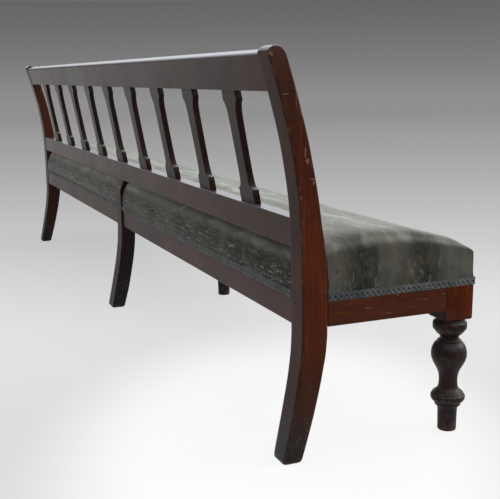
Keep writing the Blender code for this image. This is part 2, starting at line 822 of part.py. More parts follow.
def spindles(lower, crest):
    """Nine spindles with equal gaps between them and the stiles, mortised into both back rails."""
    foot, head = rail_centre_line()
    axis = (head - foot).normalized()
    length = (head - foot).length
    lean = axes(RIGHT, axis.cross(RIGHT)).to_4x4()
    into_spindle = lean.inverted()
    board = spindle_mesh(length)
    trimmed(board, into_spindle @ (UP * FIT_GAP), into_spindle.to_3x3() @ -UP)
    crest_normal = crest_slope()
    top_point = into_spindle @ (head - foot - crest_normal * FIT_GAP)
    trimmed(board, top_point, into_spindle.to_3x3() @ crest_normal)

    draft = bpy.data.objects.new("spindle_draft", board)
    bpy.context.scene.collection.objects.link(draft)
    soften(draft)
    reach = SPINDLE_TENON_LENGTH + SPINDLE_THICKNESS
    tongue_size = (SPINDLE_TENON_WIDTH, SPINDLE_TENON_THICKNESS, reach)
    slack = 2 * FIT_GAP
    slot_size = (
        SPINDLE_TENON_WIDTH + slack,
        SPINDLE_TENON_THICKNESS + slack,
        reach + 2 * MORTISE_SPARE_DEPTH,
    )
    centres = (
        (SPINDLE_THICKNESS - SPINDLE_TENON_LENGTH) / 2,
        length - (SPINDLE_THICKNESS - SPINDLE_TENON_LENGTH) / 2,
    )
    tongues = []
    for centre in centres:
        tongue = bpy.data.objects.new("spindle_tongue", box_mesh("spindle_tongue", tongue_size))
        tongue.location = (0, 0, centre)
        bpy.context.scene.collection.objects.link(tongue)
        join(draft, tongue)
        tongues.append(tongue)
    finished = mesh_of(draft)
    for helper in [draft, *tongues]:
        bpy.data.objects.remove(helper, do_unlink=True)
    finished.name = "back_spindle"

    clear_width = 2 * STILE_INNER_FACE
    gap = (clear_width - SPINDLE_COUNT * SPINDLE_WIDTH) / (SPINDLE_COUNT + 1)
    pitch = gap + SPINDLE_WIDTH
    slots = {0: [], 1: []}
    for index in range(SPINDLE_COUNT):
        x = -STILE_INNER_FACE + gap + SPINDLE_WIDTH / 2 + index * pitch
        add(f"back_spindle_{index + 1}", finished, POLISHED_WOOD, foot + RIGHT * x, lean.to_3x3())
        for end, centre in enumerate(centres):
            place = Matrix.Translation(RIGHT * x + foot) @ lean @ Matrix.Translation((0, 0, centre))
            slots[end].append((box_mesh("slot", slot_size), place))
    for end, rail in enumerate((lower, crest)):
        mesh = join_meshes(f"{rail.name}_mortises", slots[end])
        cut(rail, add(mesh.name, mesh, INNER_WOOD, (0, 0, 0), None, CUTTERS))


def webbing():
    """Jute straps across the seat frame, lengthwise ones on the side rails and crosswise ones over them."""
    inner_back = REAR_RAIL_FACE - RAIL_THICKNESS
    inner_front = FRONT_FACE + RAIL_THICKNESS
    bay = (inner_back - inner_front) / (LONG_STRAP_COUNT + 1)
    half_length = HALF_LENGTH - COVER_REBATE - STRAP_LANDING
    half_width = STRAP_WIDTH / 2
    for index in range(LONG_STRAP_COUNT):
        y = inner_front + (index + 1) * bay
        box_between(
            f"webbing_long_{index + 1}",
            (-half_length, y - half_width, LONG_STRAP_LEVEL),
            (half_length, y + half_width, LONG_STRAP_LEVEL + STRAP_THICKNESS),
            JUTE,
        )
    back = REAR_RAIL_FACE - COVER_REBATE - STRAP_LANDING
    front = FRONT_FACE + COVER_REBATE + STRAP_LANDING
    pitch = 2 * STILE_INNER_FACE / CROSS_STRAP_COUNT
    for index in range(CROSS_STRAP_COUNT):
        x = (index - (CROSS_STRAP_COUNT - 1) / 2) * pitch
        box_between(
            f"webbing_cross_{index + 1}",
            (x - half_width, front, CROSS_STRAP_LEVEL),
            (x + half_width, back, CROSS_STRAP_LEVEL + STRAP_THICKNESS),
            JUTE,
        )


def post_notches():
    """Cutters for what stands round the stiles and the middle rear leg above the seat rails."""
    top = LOWER_RAIL_TOP
    bottom = RAIL_UNDERSIDE
    behind = STILE_DEPTH
    notches = []
    for name, centre_x, thickness, shift, line in (
        ("left_stile_notch", -HALF_LENGTH, 2 * STILE_THICKNESS, 0.0, stile_front),
        ("middle_leg_notch", 0.0, MIDDLE_LEG_THICKNESS, MIDDLE_LEG_PROUD, middle_leg_front),
        ("right_stile_notch", HALF_LENGTH, 2 * STILE_THICKNESS, 0.0, stile_front),
    ):
        front = [(y - FIT_GAP, z) for y, z in edge_points(line, bottom, top, 9)]
        outline = [(behind, bottom), (behind, top)] + front[::-1]
        mesh = prism_mesh(name, outline, thickness + 2 * FIT_GAP)
        notches.append(add(name, mesh, INNER_WOOD, (centre_x, shift, 0), SIDEWAYS, CUTTERS))
    return notches


def hessian(notches):
    """The base cloth over the webbing, cut round the posts."""
    inset = COVER_REBATE + FIT_GAP
    base = box_between(
        "hessian_base",
        (-HALF_LENGTH + inset, FRONT_FACE + inset, HESSIAN_LEVEL),
        (HALF_LENGTH - inset, REAR_RAIL_FACE - inset, HESSIAN_LEVEL + HESSIAN_THICKNESS),
        JUTE,
    )
    for notch in notches:
        cut(base, notch)


def seat_top(x, y, half_length, back, front, crown):
    """The height of the cushion's top: the section from back to front, fuller and then rolled at the ends."""
    share = (back - y) / (back - front)
    raised = float(smooth_value(SEAT_SECTION_shares, share))
    height = SHOW_WOOD_TOP + raised * (crown - SHOW_WOOD_TOP)
    from_end = half_length - abs(x)
    away = min(from_end / END_FULLNESS_REACH, 1.0)
    height += END_FULLNESS * (1.0 - away) ** 2 * share**2
    inside = min(from_end / END_ROLL_LENGTH, 1.0)
    drop = END_ROLL_DROP * (1.0 - math.sqrt(max(1.0 - (1.0 - inside) ** 2, 0.0)))
    front_edge = SEAT_SECTION_shares[-1][1]
    return height - drop * max(raised - front_edge, 0.0) / (1.0 - front_edge)


def crowned_block(name, inset, underside):
    """A cushion body: a box's grid of faces, crowned on top, its sides drawn in at the foot and full above."""
    half_length = COVER_HALF_LENGTH - inset
    back = COVER_BACK - inset
    front = COVER_FRONT + inset
    crown = SEAT_CROWN_HEIGHT - inset
    skirt_top = SHOW_WOOD_TOP + GIMP_HEIGHT
    work = bmesh.new()
    bmesh.ops.create_cube(work, size=2.0)
    lengths = {share * side for share in SEAT_LENGTH_STATION_shares for side in (-1, 1)}
    depths = [1.0 - 2.0 * share for share, _ in SEAT_SECTION_shares[1:-1]]
    sides = [2.0 * share - 1.0 for share in SEAT_SIDE_STATION_shares]
    for axis, stations in ((RIGHT, sorted(lengths)), (BACKWARD, depths), (UP, sides)):
        for station in stations:
            everything = work.verts[:] + work.edges[:] + work.faces[:]
            bmesh.ops.bisect_plane(work, geom=everything, plane_co=axis * station, plane_no=axis)
    below = [face for face in work.faces if face.normal.z < -0.5]
    bmesh.ops.dissolve_faces(work, faces=below, use_verts=True)
    bmesh.ops.triangulate(work, faces=work.faces, quad_method="FIXED")
    for vert in work.verts:
        across, deep, up = vert.co
        x = across * half_length
        y = (back + front) / 2 + deep * (back - front) / 2
        top = seat_top(x, y, half_length, back, front, crown)
        share = (up + 1.0) / 2
        if share <= STRAIGHT_SKIRT_share:
            z = underside + (skirt_top - underside) * share / STRAIGHT_SKIRT_share
            fullness = 0.0
        else:
            risen = (share - STRAIGHT_SKIRT_share) / (1.0 - STRAIGHT_SKIRT_share)
            z = skirt_top + (top - skirt_top) * risen
            fullness = SEAT_SIDE_BULGE * math.sin(math.pi * risen)
        x += fullness * (round(across, 6) in (-1.0, 1.0)) * across
        y += fullness * (round(deep, 6) in (-1.0, 1.0)) * deep
        vert.co = (x, y, z)
    bmesh.ops.recalc_face_normals(work, faces=work.faces)
    mesh = bpy.data.meshes.new(name)
    work.to_mesh(mesh)
    work.free()
    return mesh


def cushion(notches):
    """The stuffing, and the cover drawn over it and down past the rails' rebates."""
    stuffing = add(
        "seat_stuffing",
        crowned_block("seat_stuffing", COVER_THICKNESS + FIT_GAP, SHOW_WOOD_TOP),
        HAIR,
    )
    frame_space = box_between(
        "seat_frame_space",
        (-LENGTH, FRONT_FACE - SEAT_DEPTH, 0.0),
        (LENGTH, SEAT_DEPTH, STUFFING_LEVEL),
        INNER_WOOD,
        CUTTERS,
    )
    cut(stuffing, frame_space)
    cover = add(
        "seat_cover",
        crowned_block("seat_cover", 0.0, SHOW_WOOD_TOP + FIT_GAP),
        VELVET,
    )
    inside = add(
        "seat_cover_inside",
        crowned_block("seat_cover_inside", COVER_THICKNESS, SHOW_WOOD_TOP - CUT_OVERRUN),
        VELVET,
        (0, 0, 0),
        None,
        CUTTERS,
    )
    cut(cover, inside)
    for notch in notches:
        cut(stuffing, notch)
        cut(cover, notch)
    for obj in (stuffing, cover):
        round_smooth(obj.data)


def gimps():
    """Braid over the cover's lower edge, on all four sides of the seat."""
    low = SHOW_WOOD_TOP + FIT_GAP
    high = low + GIMP_HEIGHT
    face = COVER_FRONT - FIT_GAP
    end = COVER_HALF_LENGTH + FIT_GAP
    box_between(
        "front_gimp",
        (-end - GIMP_THICKNESS, face - GIMP_THICKNESS, low),
        (end + GIMP_THICKNESS, face, high),
        BRAID,
    )
    rear_face = COVER_BACK + FIT_GAP
    for word, side in (("left", -1), ("right", 1)):
        ends = sorted((side * end, side * (end + GIMP_THICKNESS)))
        box_between(
            f"side_gimp_{word}",
            (ends[0], face + FIT_GAP, low),
            (ends[1], -STILE_DEPTH - FIT_GAP, high),
            BRAID,
        )
        ends = sorted(
            (side * (MIDDLE_LEG_THICKNESS / 2 + FIT_GAP), side * (STILE_INNER_FACE - FIT_GAP))
        )
        box_between(
            f"rear_gimp_{word}",
            (ends[0], rear_face, low),
            (ends[1], rear_face + GIMP_THICKNESS, high),
            BRAID,
        )


def screw_mesh(length):
    """A slotted countersunk screw along Z, its head's top at the origin and its point below."""
    point = length - SCREW_POINT
    profile = [
        (0.0, 0.0),
        (0.0, SCREW_HEAD_RADIUS),
        (-SCREW_HEAD_HEIGHT, SCREW_SHANK_RADIUS),
        (-point, SCREW_SHANK_RADIUS),
        (-length, 0.0),
    ]
    draft = bpy.data.objects.new("screw_draft", turned("screw", profile, SCREW_SIDES))
    slot_size = (3 * SCREW_HEAD_RADIUS, SCREW_SLOT_WIDTH, 2 * SCREW_SLOT_DEPTH)
    slot = bpy.data.objects.new("screw_slot", box_mesh("screw_slot", slot_size))
    for helper in (draft, slot):
        bpy.context.scene.collection.objects.link(helper)
    cut(draft, slot)
    mesh = mesh_of(draft)
    for helper in (draft, slot):
        bpy.data.objects.remove(helper, do_unlink=True)
    return mesh


def screw_hole_mesh(length):
    """The hole for a screw: its own shape and a clearance, and a bore for the driver over its head."""
    shank = SCREW_SHANK_RADIUS + FIT_GAP
    head = SCREW_HEAD_RADIUS + FIT_GAP
    bottom = length + MORTISE_SPARE_DEPTH
    profile = [
        (CORNER_BLOCK_REACH, 0.0),
        (CORNER_BLOCK_REACH, head),
        (FIT_GAP, head),
        (-SCREW_HEAD_HEIGHT, shank),
        (-bottom, shank),
        (-bottom, 0.0),
    ]
    return turned("screw_hole", profile, SCREW_SIDES)


def screw_place(rail_point, into_rail, grip):
    """The matrix of a screw that goes into a rail, its head standing a grip away from the rail's face."""
    up_axis = -into_rail
    side_axis = UP.cross(up_axis)
    turn = Matrix((side_axis, UP, side_axis.cross(UP))).transposed()
    return Matrix.Translation(rail_point + up_axis * grip) @ turn.to_4x4()


def corner_blocks(rails):
    """Blocks in the four corners of the seat frame, each screwed to a long rail and to a side rail."""
    centre_z = RAIL_TOP - CORNER_BLOCK_DROP - CORNER_BLOCK_HEIGHT / 2
    reach = CORNER_BLOCK_REACH
    grip = reach * SCREW_GRIP_share
    side_face = HALF_LENGTH - RAIL_THICKNESS - FIT_GAP
    blocks = []
    screw_places = []
    for side, side_word in ((-1, "left"), (1, "right")):
        for end, end_word, post_face, rail_face, post_width in (
            (-1, "front", BLOCK_BACK_FACE, FRONT_FACE + RAIL_THICKNESS, BLOCK_SIDE),
            (1, "rear", -STILE_DEPTH, REAR_RAIL_FACE - RAIL_THICKNESS, STILE_THICKNESS),
        ):
            post_x = HALF_LENGTH - post_width - FIT_GAP
            post_y = post_face - FIT_GAP * end
            long_face = rail_face - FIT_GAP * end
            outline = [
                (side * post_x, post_y),
                (side * side_face, post_y),
                (side * side_face, post_y - end * reach),
                (side * (post_x - reach), long_face),
                (side * post_x, long_face),
            ]
            name = f"corner_block_{end_word}_{side_word}"
            mesh = prism_mesh(name, outline, CORNER_BLOCK_HEIGHT)
            blocks.append(add(name, mesh, INNER_WOOD, UP * centre_z))
            along = reach * SCREW_PLACE_share
            to_side = Vector((side * (side_face + FIT_GAP), post_y - end * along, centre_z))
            to_long = Vector((side * (post_x - along), rail_face, centre_z))
            screw_places.append(screw_place(to_side, RIGHT * side, grip))
            screw_places.append(screw_place(to_long, BACKWARD * end, grip))
    screw = screw_mesh(grip + SCREW_BITE)
    hole = screw_hole_mesh(grip + SCREW_BITE)
    for index, place in enumerate(screw_places):
        add(f"corner_screw_{index + 1}", screw, STEEL, place.to_translation(), place.to_3x3())
    holes = join_meshes("screw_holes", [(hole, place) for place in screw_places])
    drill = add("screw_holes", holes, INNER_WOOD, (0, 0, 0), None, CUTTERS)
    for drilled in [*blocks, *rails]:
        cut(drilled, drill)


def centre_bench():
    """Moves the bench so that the middle of its footprint is at the origin."""
    front_reach = min(COVER_FRONT - SEAT_SIDE_BULGE, BLOCK_CENTRE_Y - LEG_RADIUS)
    back_reach = float(stile_back(STILE_SHOULDER))
    ROOT.location = (0, -(front_reach + back_reach) / 2, 0)


def build():
    """Makes every piece of the bench."""
    end_stiles = stiles()
    middle_leg = middle_rear_leg()
    legs = front_legs()
    rails = rear_and_front_rails(end_stiles, middle_leg, legs)
    rails += side_rails(end_stiles, legs)
    cross_rail(middle_leg, legs[0])
    lower, crest = back_rails(end_stiles)
    middle_leg_stub(middle_leg, lower)
    spindles(lower, crest)
    webbing()
    notches = post_notches()
    hessian(notches)
    cushion(notches)
    gimps()
    corner_blocks(rails)
    centre_bench()


build()
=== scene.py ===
"""The looks of a long railway station bench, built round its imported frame.

Metres, +Z up. X runs along the bench, -Y is its front, and the floor is z = 0.
Each sub-assembly is a class: its sizes are dataclass fields, and its methods make its meshes and dress them.
"""

import logging
import math
from collections.abc import Callable, Mapping, Sequence
from dataclasses import dataclass, field
from enum import Enum

import bmesh
import bpy
import numpy as np
from mathutils import Matrix, Vector
from numpy.typing import ArrayLike, NDArray


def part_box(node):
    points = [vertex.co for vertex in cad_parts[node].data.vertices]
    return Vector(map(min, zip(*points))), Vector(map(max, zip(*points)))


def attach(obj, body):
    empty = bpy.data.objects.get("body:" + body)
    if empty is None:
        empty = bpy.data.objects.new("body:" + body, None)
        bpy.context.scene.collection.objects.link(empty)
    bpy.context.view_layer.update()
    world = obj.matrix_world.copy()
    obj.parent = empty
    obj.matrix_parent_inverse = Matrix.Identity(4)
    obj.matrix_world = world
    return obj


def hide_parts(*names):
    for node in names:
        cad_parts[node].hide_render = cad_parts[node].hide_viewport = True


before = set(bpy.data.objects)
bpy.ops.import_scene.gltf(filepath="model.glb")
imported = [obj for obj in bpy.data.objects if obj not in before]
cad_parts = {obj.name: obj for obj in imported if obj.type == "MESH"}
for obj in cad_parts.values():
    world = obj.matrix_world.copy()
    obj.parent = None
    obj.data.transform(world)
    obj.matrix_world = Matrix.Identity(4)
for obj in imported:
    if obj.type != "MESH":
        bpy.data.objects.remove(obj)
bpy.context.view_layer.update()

LOG = logging.getLogger("bench")

Colour = tuple[float, float, float]
Array = NDArray[np.float64]

RIGHT = np.array((1.0, 0.0, 0.0))
BACKWARD = np.array((0.0, 1.0, 0.0))
UP = np.array((0.0, 0.0, 1.0))
CREASE = math.radians(38)
PAD_CREASE = math.radians(60)
WELD = 0.00002
PAD_WELD = 0.0001
CORNER_SHARE = 0.38
MARK_DEPTH = 0.004


class Grain(Enum):
    """The axis that the wood's fibres run along in a piece."""

    ALONG = 0
    ACROSS = 1
    UPRIGHT = 2

    def scale(self, along: float, across: float = 1.0) -> tuple[float, ...]:
        """A pattern's scale by axis, from its scales along the fibres and across them."""
        return tuple(along if axis == self.value else across for axis in range(3))


class Side(Enum):
    """An end of the bench, as seen from the front."""

    LEFT = -1
    RIGHT = 1

    @property
    def word(self) -> str:
        """The side's name in lower case."""
        return self.name.lower()


# Shader maths


def sum_method(operation: str, turned: bool = False) -> Callable[["Wire", "Value"], "Wire"]:
    """A method that makes one Math node on a wire and another value.

    Args:
        operation: the node's operation.
        turned: whether the other value comes first.

    Returns:
        The method. Where the operation takes one value, the other is left out.
    """

    def method(wire: "Wire", other: "Value" = 0.0) -> "Wire":
        """The node's result."""
        ends = (other, wire) if turned else (wire, other)
        return wire.bench.result("ShaderNodeMath", {"operation": operation}, dict(enumerate(ends)))

    return method


class Wire:
    """A shader socket that can be used in sums."""

    def __init__(self, bench: "MixingBench", socket: bpy.types.NodeSocket) -> None:
        """Holds the socket and the bench that it belongs to."""
        self.bench = bench
        self.socket = socket

    __add__ = __radd__ = sum_method("ADD")
    __sub__ = sum_method("SUBTRACT")
    __rsub__ = sum_method("SUBTRACT", turned=True)
    __mul__ = __rmul__ = sum_method("MULTIPLY")
    __truediv__ = sum_method("DIVIDE")
    __pow__ = sum_method("POWER")
    __abs__ = sum_method("ABSOLUTE")
    least = sum_method("MINIMUM")
    most = sum_method("MAXIMUM")
    part = sum_method("FRACT")
    sine = sum_method("SINE")

    def step(self, low: float, high: float) -> "Wire":
        """A smooth rise from 0 where the value is low to 1 where it is high.

        Args:
            low: where it starts.
            high: where it ends. The rise is a fall if this is under low.

        Returns:
            The share from 0 to 1.
        """
        if low > high:
            return 1.0 - self.step(high, low)
        settings = {"interpolation_type": "SMOOTHSTEP", "clamp": True}
        return self.bench.result("ShaderNodeMapRange", settings, {0: self, 1: low, 2: high})


Value = Wire | float


class MixingBench:
    """Makes the nodes of one material or world."""

    def __init__(self, tree: bpy.types.NodeTree) -> None:
        """Takes over a node tree and empties it."""
        self.tree = tree
        tree.nodes.clear()

    def node(
        self,
        kind: str,
        settings: Mapping[str, object] | None = None,
        inputs: Mapping[str | int, object] | None = None,
    ) -> bpy.types.Node:
        """Makes one node.

        Args:
            kind: the node's type.
            settings: its own properties, or "stops" for a ramp's rows of place and colour, set first.
            inputs: values or links for its sockets, by name or number.

        Returns:
            The node.
        """
        made = self.tree.nodes.new(kind)
        for name, value in (settings or {}).items():
            if name == "stops":
                self._set_stops(made.color_ramp, value)
            else:
                setattr(made, name, value)
        for name, value in (inputs or {}).items():
            if isinstance(value, Wire):
                self.tree.links.new(value.socket, made.inputs[name])
            else:
                made.inputs[name].default_value = value
        return made

    @staticmethod
    def _set_stops(ramp: bpy.types.ColorRamp, rows: Sequence[tuple[float, Colour]]) -> None:
        """Gives a ramp its stops.

        Args:
            ramp: the ramp.
            rows: the stops' places and colours.
        """
        while len(ramp.elements) < len(rows):
            ramp.elements.new(1.0)
        for stop, (place, colour) in zip(ramp.elements, rows):
            stop.position = place
            stop.color = (*colour, 1.0)

    def result(
        self,
        kind: str,
        settings: Mapping[str, object] | None = None,
        inputs: Mapping[str | int, object] | None = None,
        output: str | int = 0,
    ) -> Wire:
        """One output of a new node."""
        return Wire(self, self.node(kind, settings, inputs).outputs[output])

    def place(self, scale: Sequence[float] = (1, 1, 1)) -> Wire:
        """The place on the object in metres, scaled."""
        source = self.result("ShaderNodeTexCoord", output="Object")
        return self.result("ShaderNodeMapping", {}, {0: source, 3: scale})

    def parts(self, vector: Wire) -> tuple[Wire, ...]:
        """A vector's X, Y and Z."""
        made = self.node("ShaderNodeSeparateXYZ", {}, {0: vector})
        return tuple(Wire(self, output) for output in made.outputs)

    def facing(self, kind: str = "Normal") -> tuple[Wire, ...]:
        """How far the surface faces along X, Y and Z."""
        return self.parts(self.result("ShaderNodeNewGeometry", output=kind))

    def vector(self, x: Value, y: Value, z: Value) -> Wire:
        """A vector from three values."""
        return self.result("ShaderNodeCombineXYZ", {}, {0: x, 1: y, 2: z})

    def vectors(self, operation: str, *ends: Wire | Sequence[float], output: str | int = 0) -> Wire:
        """The result of one Vector Math node."""
        return self.result("ShaderNodeVectorMath", {"operation": operation}, dict(enumerate(ends)), output)

    def noise(
        self, at: Wire, scale: float, detail: float = 3.0, rough: float = 0.55, warp: float = 0.0
    ) -> Wire:
        """Smooth noise about 0.5 at a place."""
        inputs = {"Vector": at, "Scale": scale, "Detail": detail, "Roughness": rough, "Distortion": warp}
        return self.result("ShaderNodeTexNoise", {}, inputs)

    def weave(self, first: Value, second: Value, seed: float, *texture: float) -> Wire:
        """Noise over two stretched places. The seed sets it apart, and its texture is as in noise."""
        return self.noise(self.vector(first, second, seed), 1.0, *texture)

    def attribute(self, name: str) -> Wire:
        """A number that the mesh carries."""
        return self.result("ShaderNodeAttribute", {"attribute_name": name}, output="Fac")

    def ray(self, kind: str) -> Wire:
        """1 for light rays of one kind."""
        return self.result("ShaderNodeLightPath", output=kind)

    def mix(self, share: Value, first: Wire | Colour, second: Wire | Colour) -> Wire:
        """One colour over another.

        Args:
            share: how far the second colour covers the first, from 0 to 1.
            first: the colour below.
            second: the colour on top.

        Returns:
            The mixed colour.
        """
        ends = [end if isinstance(end, Wire) else (*end, 1.0) for end in (first, second)]
        settings = {"data_type": "RGBA", "clamp_factor": True}
        return self.result("ShaderNodeMix", settings, {0: share, 6: ends[0], 7: ends[1]}, 2)

    def layers(self, base: Wire | Colour, *coats: tuple[Value, Wire | Colour]) -> Wire:
        """Colours over each other.

        Args:
            base: the lowest colour.
            coats: the share and colour of each coat over it, from the lowest up.

        Returns:
            The mixed colour.
        """
        for share, colour in coats:
            base = self.mix(share, base, colour)
        return base

    def bump(self, height: Wire, distance: float, strength: float = 1.0) -> Wire:
        """A surface normal from a height."""
        inputs = {"Height": height, "Distance": distance, "Strength": strength}
        return self.result("ShaderNodeBump", {}, inputs)

    def finish(self, constants: Mapping[str, object], varying: Mapping[str, Wire]) -> None:
        """The Principled shader with its plain values and its links, on the material's output."""
        shader = self.result("ShaderNodeBsdfPrincipled", {}, {**constants, **varying})
        self.node("ShaderNodeOutputMaterial", {}, {0: shader})


def new_material(name: str) -> tuple[bpy.types.Material, MixingBench]:
    """An empty material.

    Args:
        name: its name.

    Returns:
        The material, and the bench that fills it.
    """
    material = bpy.data.materials.new(name)
    material.use_nodes = True
    return material, MixingBench(material.node_tree)


# Finishes


@dataclass(frozen=True)
class Finish:
    """A named material, which each kind of finish paints in its own way."""

    name: str

    def build(self) -> bpy.types.Material:
        """Makes and paints the material.

        Returns:
            The material.
        """
        material, bench = new_material(self.name)
        self.paint(bench)
        return material

    def paint(self, bench: MixingBench) -> None:
        """Puts the finish's nodes on the bench."""
        raise NotImplementedError


@dataclass(frozen=True)
class Scratch:
    """A pale knock or scratch: where it is, and its half sizes along X, Y and Z."""

    place: tuple[float, float, float]
    reach: tuple[float, float, float]


@dataclass(frozen=True)
class Mahogany(Finish):
    """Old mahogany under worn polish: red where it is handled, with dark streaks, open pores and nicks."""

    grain: Grain
    dark: Colour = (0.031, 0.0066, 0.0022)
    red: Colour = (0.096, 0.0180, 0.0038)
    amber: Colour = (0.180, 0.0450, 0.0070)
    # back_face_shading is painted shade and sheen on the faces that face back
    back_face_shading: Colour = (0.0165, 0.0085, 0.0070)
    # dust is dust on the top with a bluish painted sheen of the sky in it
    dust: Colour = (0.130, 0.138, 0.165)
    scuff: Colour = (0.0190, 0.0160, 0.0145)
    scratches: tuple[Scratch, ...] = ()
    scuffs: float = 1.0
    gloss: float = 0.13

    def paint(self, bench: MixingBench) -> None:
        """Streaks, lit fibres and pores along the grain, then painted shade and sheen, dust and wear over
        them.

        Args:
            bench: the material's bench.
        """
        place = bench.place()
        fibre_place = bench.place(self.grain.scale(0.09))
        pore_place = bench.place(self.grain.scale(0.045))
        wide = bench.noise(fibre_place, 22.0, 3.0, 0.5, 0.5)
        fine = bench.noise(fibre_place, 240.0, 4.0, 0.6)
        cloudy = bench.noise(place, 5.5, 3.0, 0.55)
        pores = bench.noise(pore_place, 680.0, 1.0, 0.5).step(0.60, 0.70)
        streak = (wide * 0.55 + fine * 0.45).step(0.30, 0.64)
        lit_fibre = bench.noise(pore_place, 150.0, 3.0, 0.6).step(0.54, 0.70)
        wood = bench.layers(
            self.dark,
            (streak * 0.75 + (cloudy - 0.35) * 0.8, self.red),
            (lit_fibre * cloudy.step(0.40, 0.60) * 0.45, self.amber),
            (pores * 0.40, self.dark),
        )
        film, ledge, wood = self._dust(bench, place, wood)
        rubbed, wood = self._wear(bench, place, wood)

        relief = fine * 0.22 + wide * 0.20 - pores * 0.30 - rubbed * 1.0
        bench.finish(
            {"IOR": 1.45, "Specular IOR Level": self.gloss, "Coat Roughness": 0.16, "Coat IOR": 1.40},
            {
                "Base Color": wood,
                "Roughness": 0.31 + cloudy * 0.12 + pores * 0.08 + film * 0.06,
                "Coat Weight": (ledge + 0.05 - rubbed * 0.3).most(0.0),
                "Normal": bench.bump(relief, 0.0004, 0.5),
            },
        )

    def _dust(self, bench: MixingBench, place: Wire, wood: Wire) -> tuple[Wire, Wire, Wire]:
        """Painted shade and sheen on the back faces, painted shade on the under sides, dust with a painted
        sheen on the top, and scuffs, dirt and chips low on the legs.

        Args:
            bench: the material's bench.
            place: the place on the object.
            wood: the bare wood's colour.

        Returns:
            How far the back faces' painted shade and sheen and the scuffs cover the wood, how far it is a
            ledge, and the wood's colour.
        """
        _, facing_back, facing_up = bench.facing("True Normal")
        height = bench.parts(place)[2]
        dusty = bench.noise(place, 9.0, 4.0, 0.6)
        cleaned = bench.noise(place, 4.2, 3.0, 0.6)
        # The back faces get painted shade and sheen, in patches.
        behind = facing_back.step(0.2, 0.9) * (dusty * 1.1 + cleaned * 0.9 - 0.33).most(0.0).least(0.92)
        above = facing_up.step(0.3, 0.9) * (dusty * 0.8 + 0.3)
        low = height.step(0.36, 0.12)
        scuffed = (height.step(0.17, 0.0) * (dusty * 1.6 + 0.1)).least(0.95)
        blotch = bench.noise(place, 60.0, 5.0, 0.68).step(0.50, 0.68)
        trodden = height.step(0.060, 0.010) * bench.noise(place, 45.0, 4.0, 0.65).step(0.66, 0.44)
        chipped = height.step(0.040, 0.004) * bench.noise(place, 150.0, 5.0, 0.70).step(0.54, 0.64)
        back_sheen_streaks = bench.noise(place, 28.0, 4.0, 0.66).step(0.50, 0.70)
        wood = bench.layers(
            wood,
            (low * 0.60, self.dark),
            (height.step(0.66, 0.88) * 0.45, (0.0120, 0.0062, 0.0050)),
            # painted shade and sheen on the back faces
            (behind, self.back_face_shading),
            (scuffed, self.scuff),
            (low * 0.30, (0.0095, 0.0075, 0.0070)),
            (scuffed * blotch * 0.7, (0.060, 0.057, 0.054)),
            (trodden * 0.80, (0.0060, 0.0055, 0.0052)),
            (chipped * 0.50, (0.120, 0.112, 0.096)),
            # paler grey streaks on the back faces: painted sheen
            (behind * back_sheen_streaks * 0.35, (0.034, 0.031, 0.030)),
            # dust on the top, with a painted sheen of the sky
            (above * 0.6, self.dust),
            # nearly black under sides: painted shade
            (facing_up.step(-0.3, -0.9) * 0.85, (0.006, 0.005, 0.0045)),
        )
        return (behind + scuffed).least(1.0), facing_up.step(0.2, 0.8), wood

    def _wear(self, bench: MixingBench, place: Wire, wood: Wire) -> tuple[Wire, Wire]:
        """Rubbed arrises, hairline scratches along the grain, and the named scratches.

        Args:
            bench: the material's bench.
            place: the place on the object.
            wood: the wood's colour so far.

        Returns:
            How far the wood is rubbed, and its colour.
        """
        arris = bench.attribute("arris")
        rubbed = arris * bench.noise(place, 34.0, 4.0, 0.65).step(0.50, 0.68) * self.scuffs
        edged = arris * bench.noise(place, 21.0, 3.0, 0.6).step(0.50, 0.35)
        hairline = bench.noise(bench.place(self.grain.scale(0.0225, 0.5)), 330.0, 0.0).step(0.76, 0.80)
        hairline = hairline * bench.noise(place, 14.0, 2.0).step(0.56, 0.70) * self.scuffs
        wood = bench.layers(
            wood,
            (rubbed * 0.45, (0.150, 0.078, 0.047)),
            (edged * 0.6, (0.018, 0.012, 0.010)),
            (hairline * 0.40, (0.19, 0.085, 0.045)),
        )
        rubbed = rubbed * 0.6 + hairline * 0.4
        if not self.scratches:
            return rubbed, wood
        marks = self._marks(bench, place)
        return rubbed + marks * 0.5, bench.mix(marks * 0.5, wood, (0.26, 0.16, 0.11))

    def _marks(self, bench: MixingBench, place: Wire) -> Wire:
        """The named scratches: each is stretched to its reach and torn into strokes by noise.

        Args:
            bench: the material's bench.
            place: the place on the object.

        Returns:
            1 inside a scratch, and 0 outside them all.
        """
        ragged = bench.noise(bench.place((1.0, 0.6, 1.0)), 340.0, 3.0, 0.6)
        total: Value = 0.0
        for scratch in self.scratches:
            offset = bench.vectors("SUBTRACT", place, scratch.place)
            away = bench.vectors("LENGTH", bench.vectors("DIVIDE", offset, scratch.reach), output="Value")
            total = (away + (ragged - 0.42) * 3.4).step(1.05, 0.75).most(total)
        return total


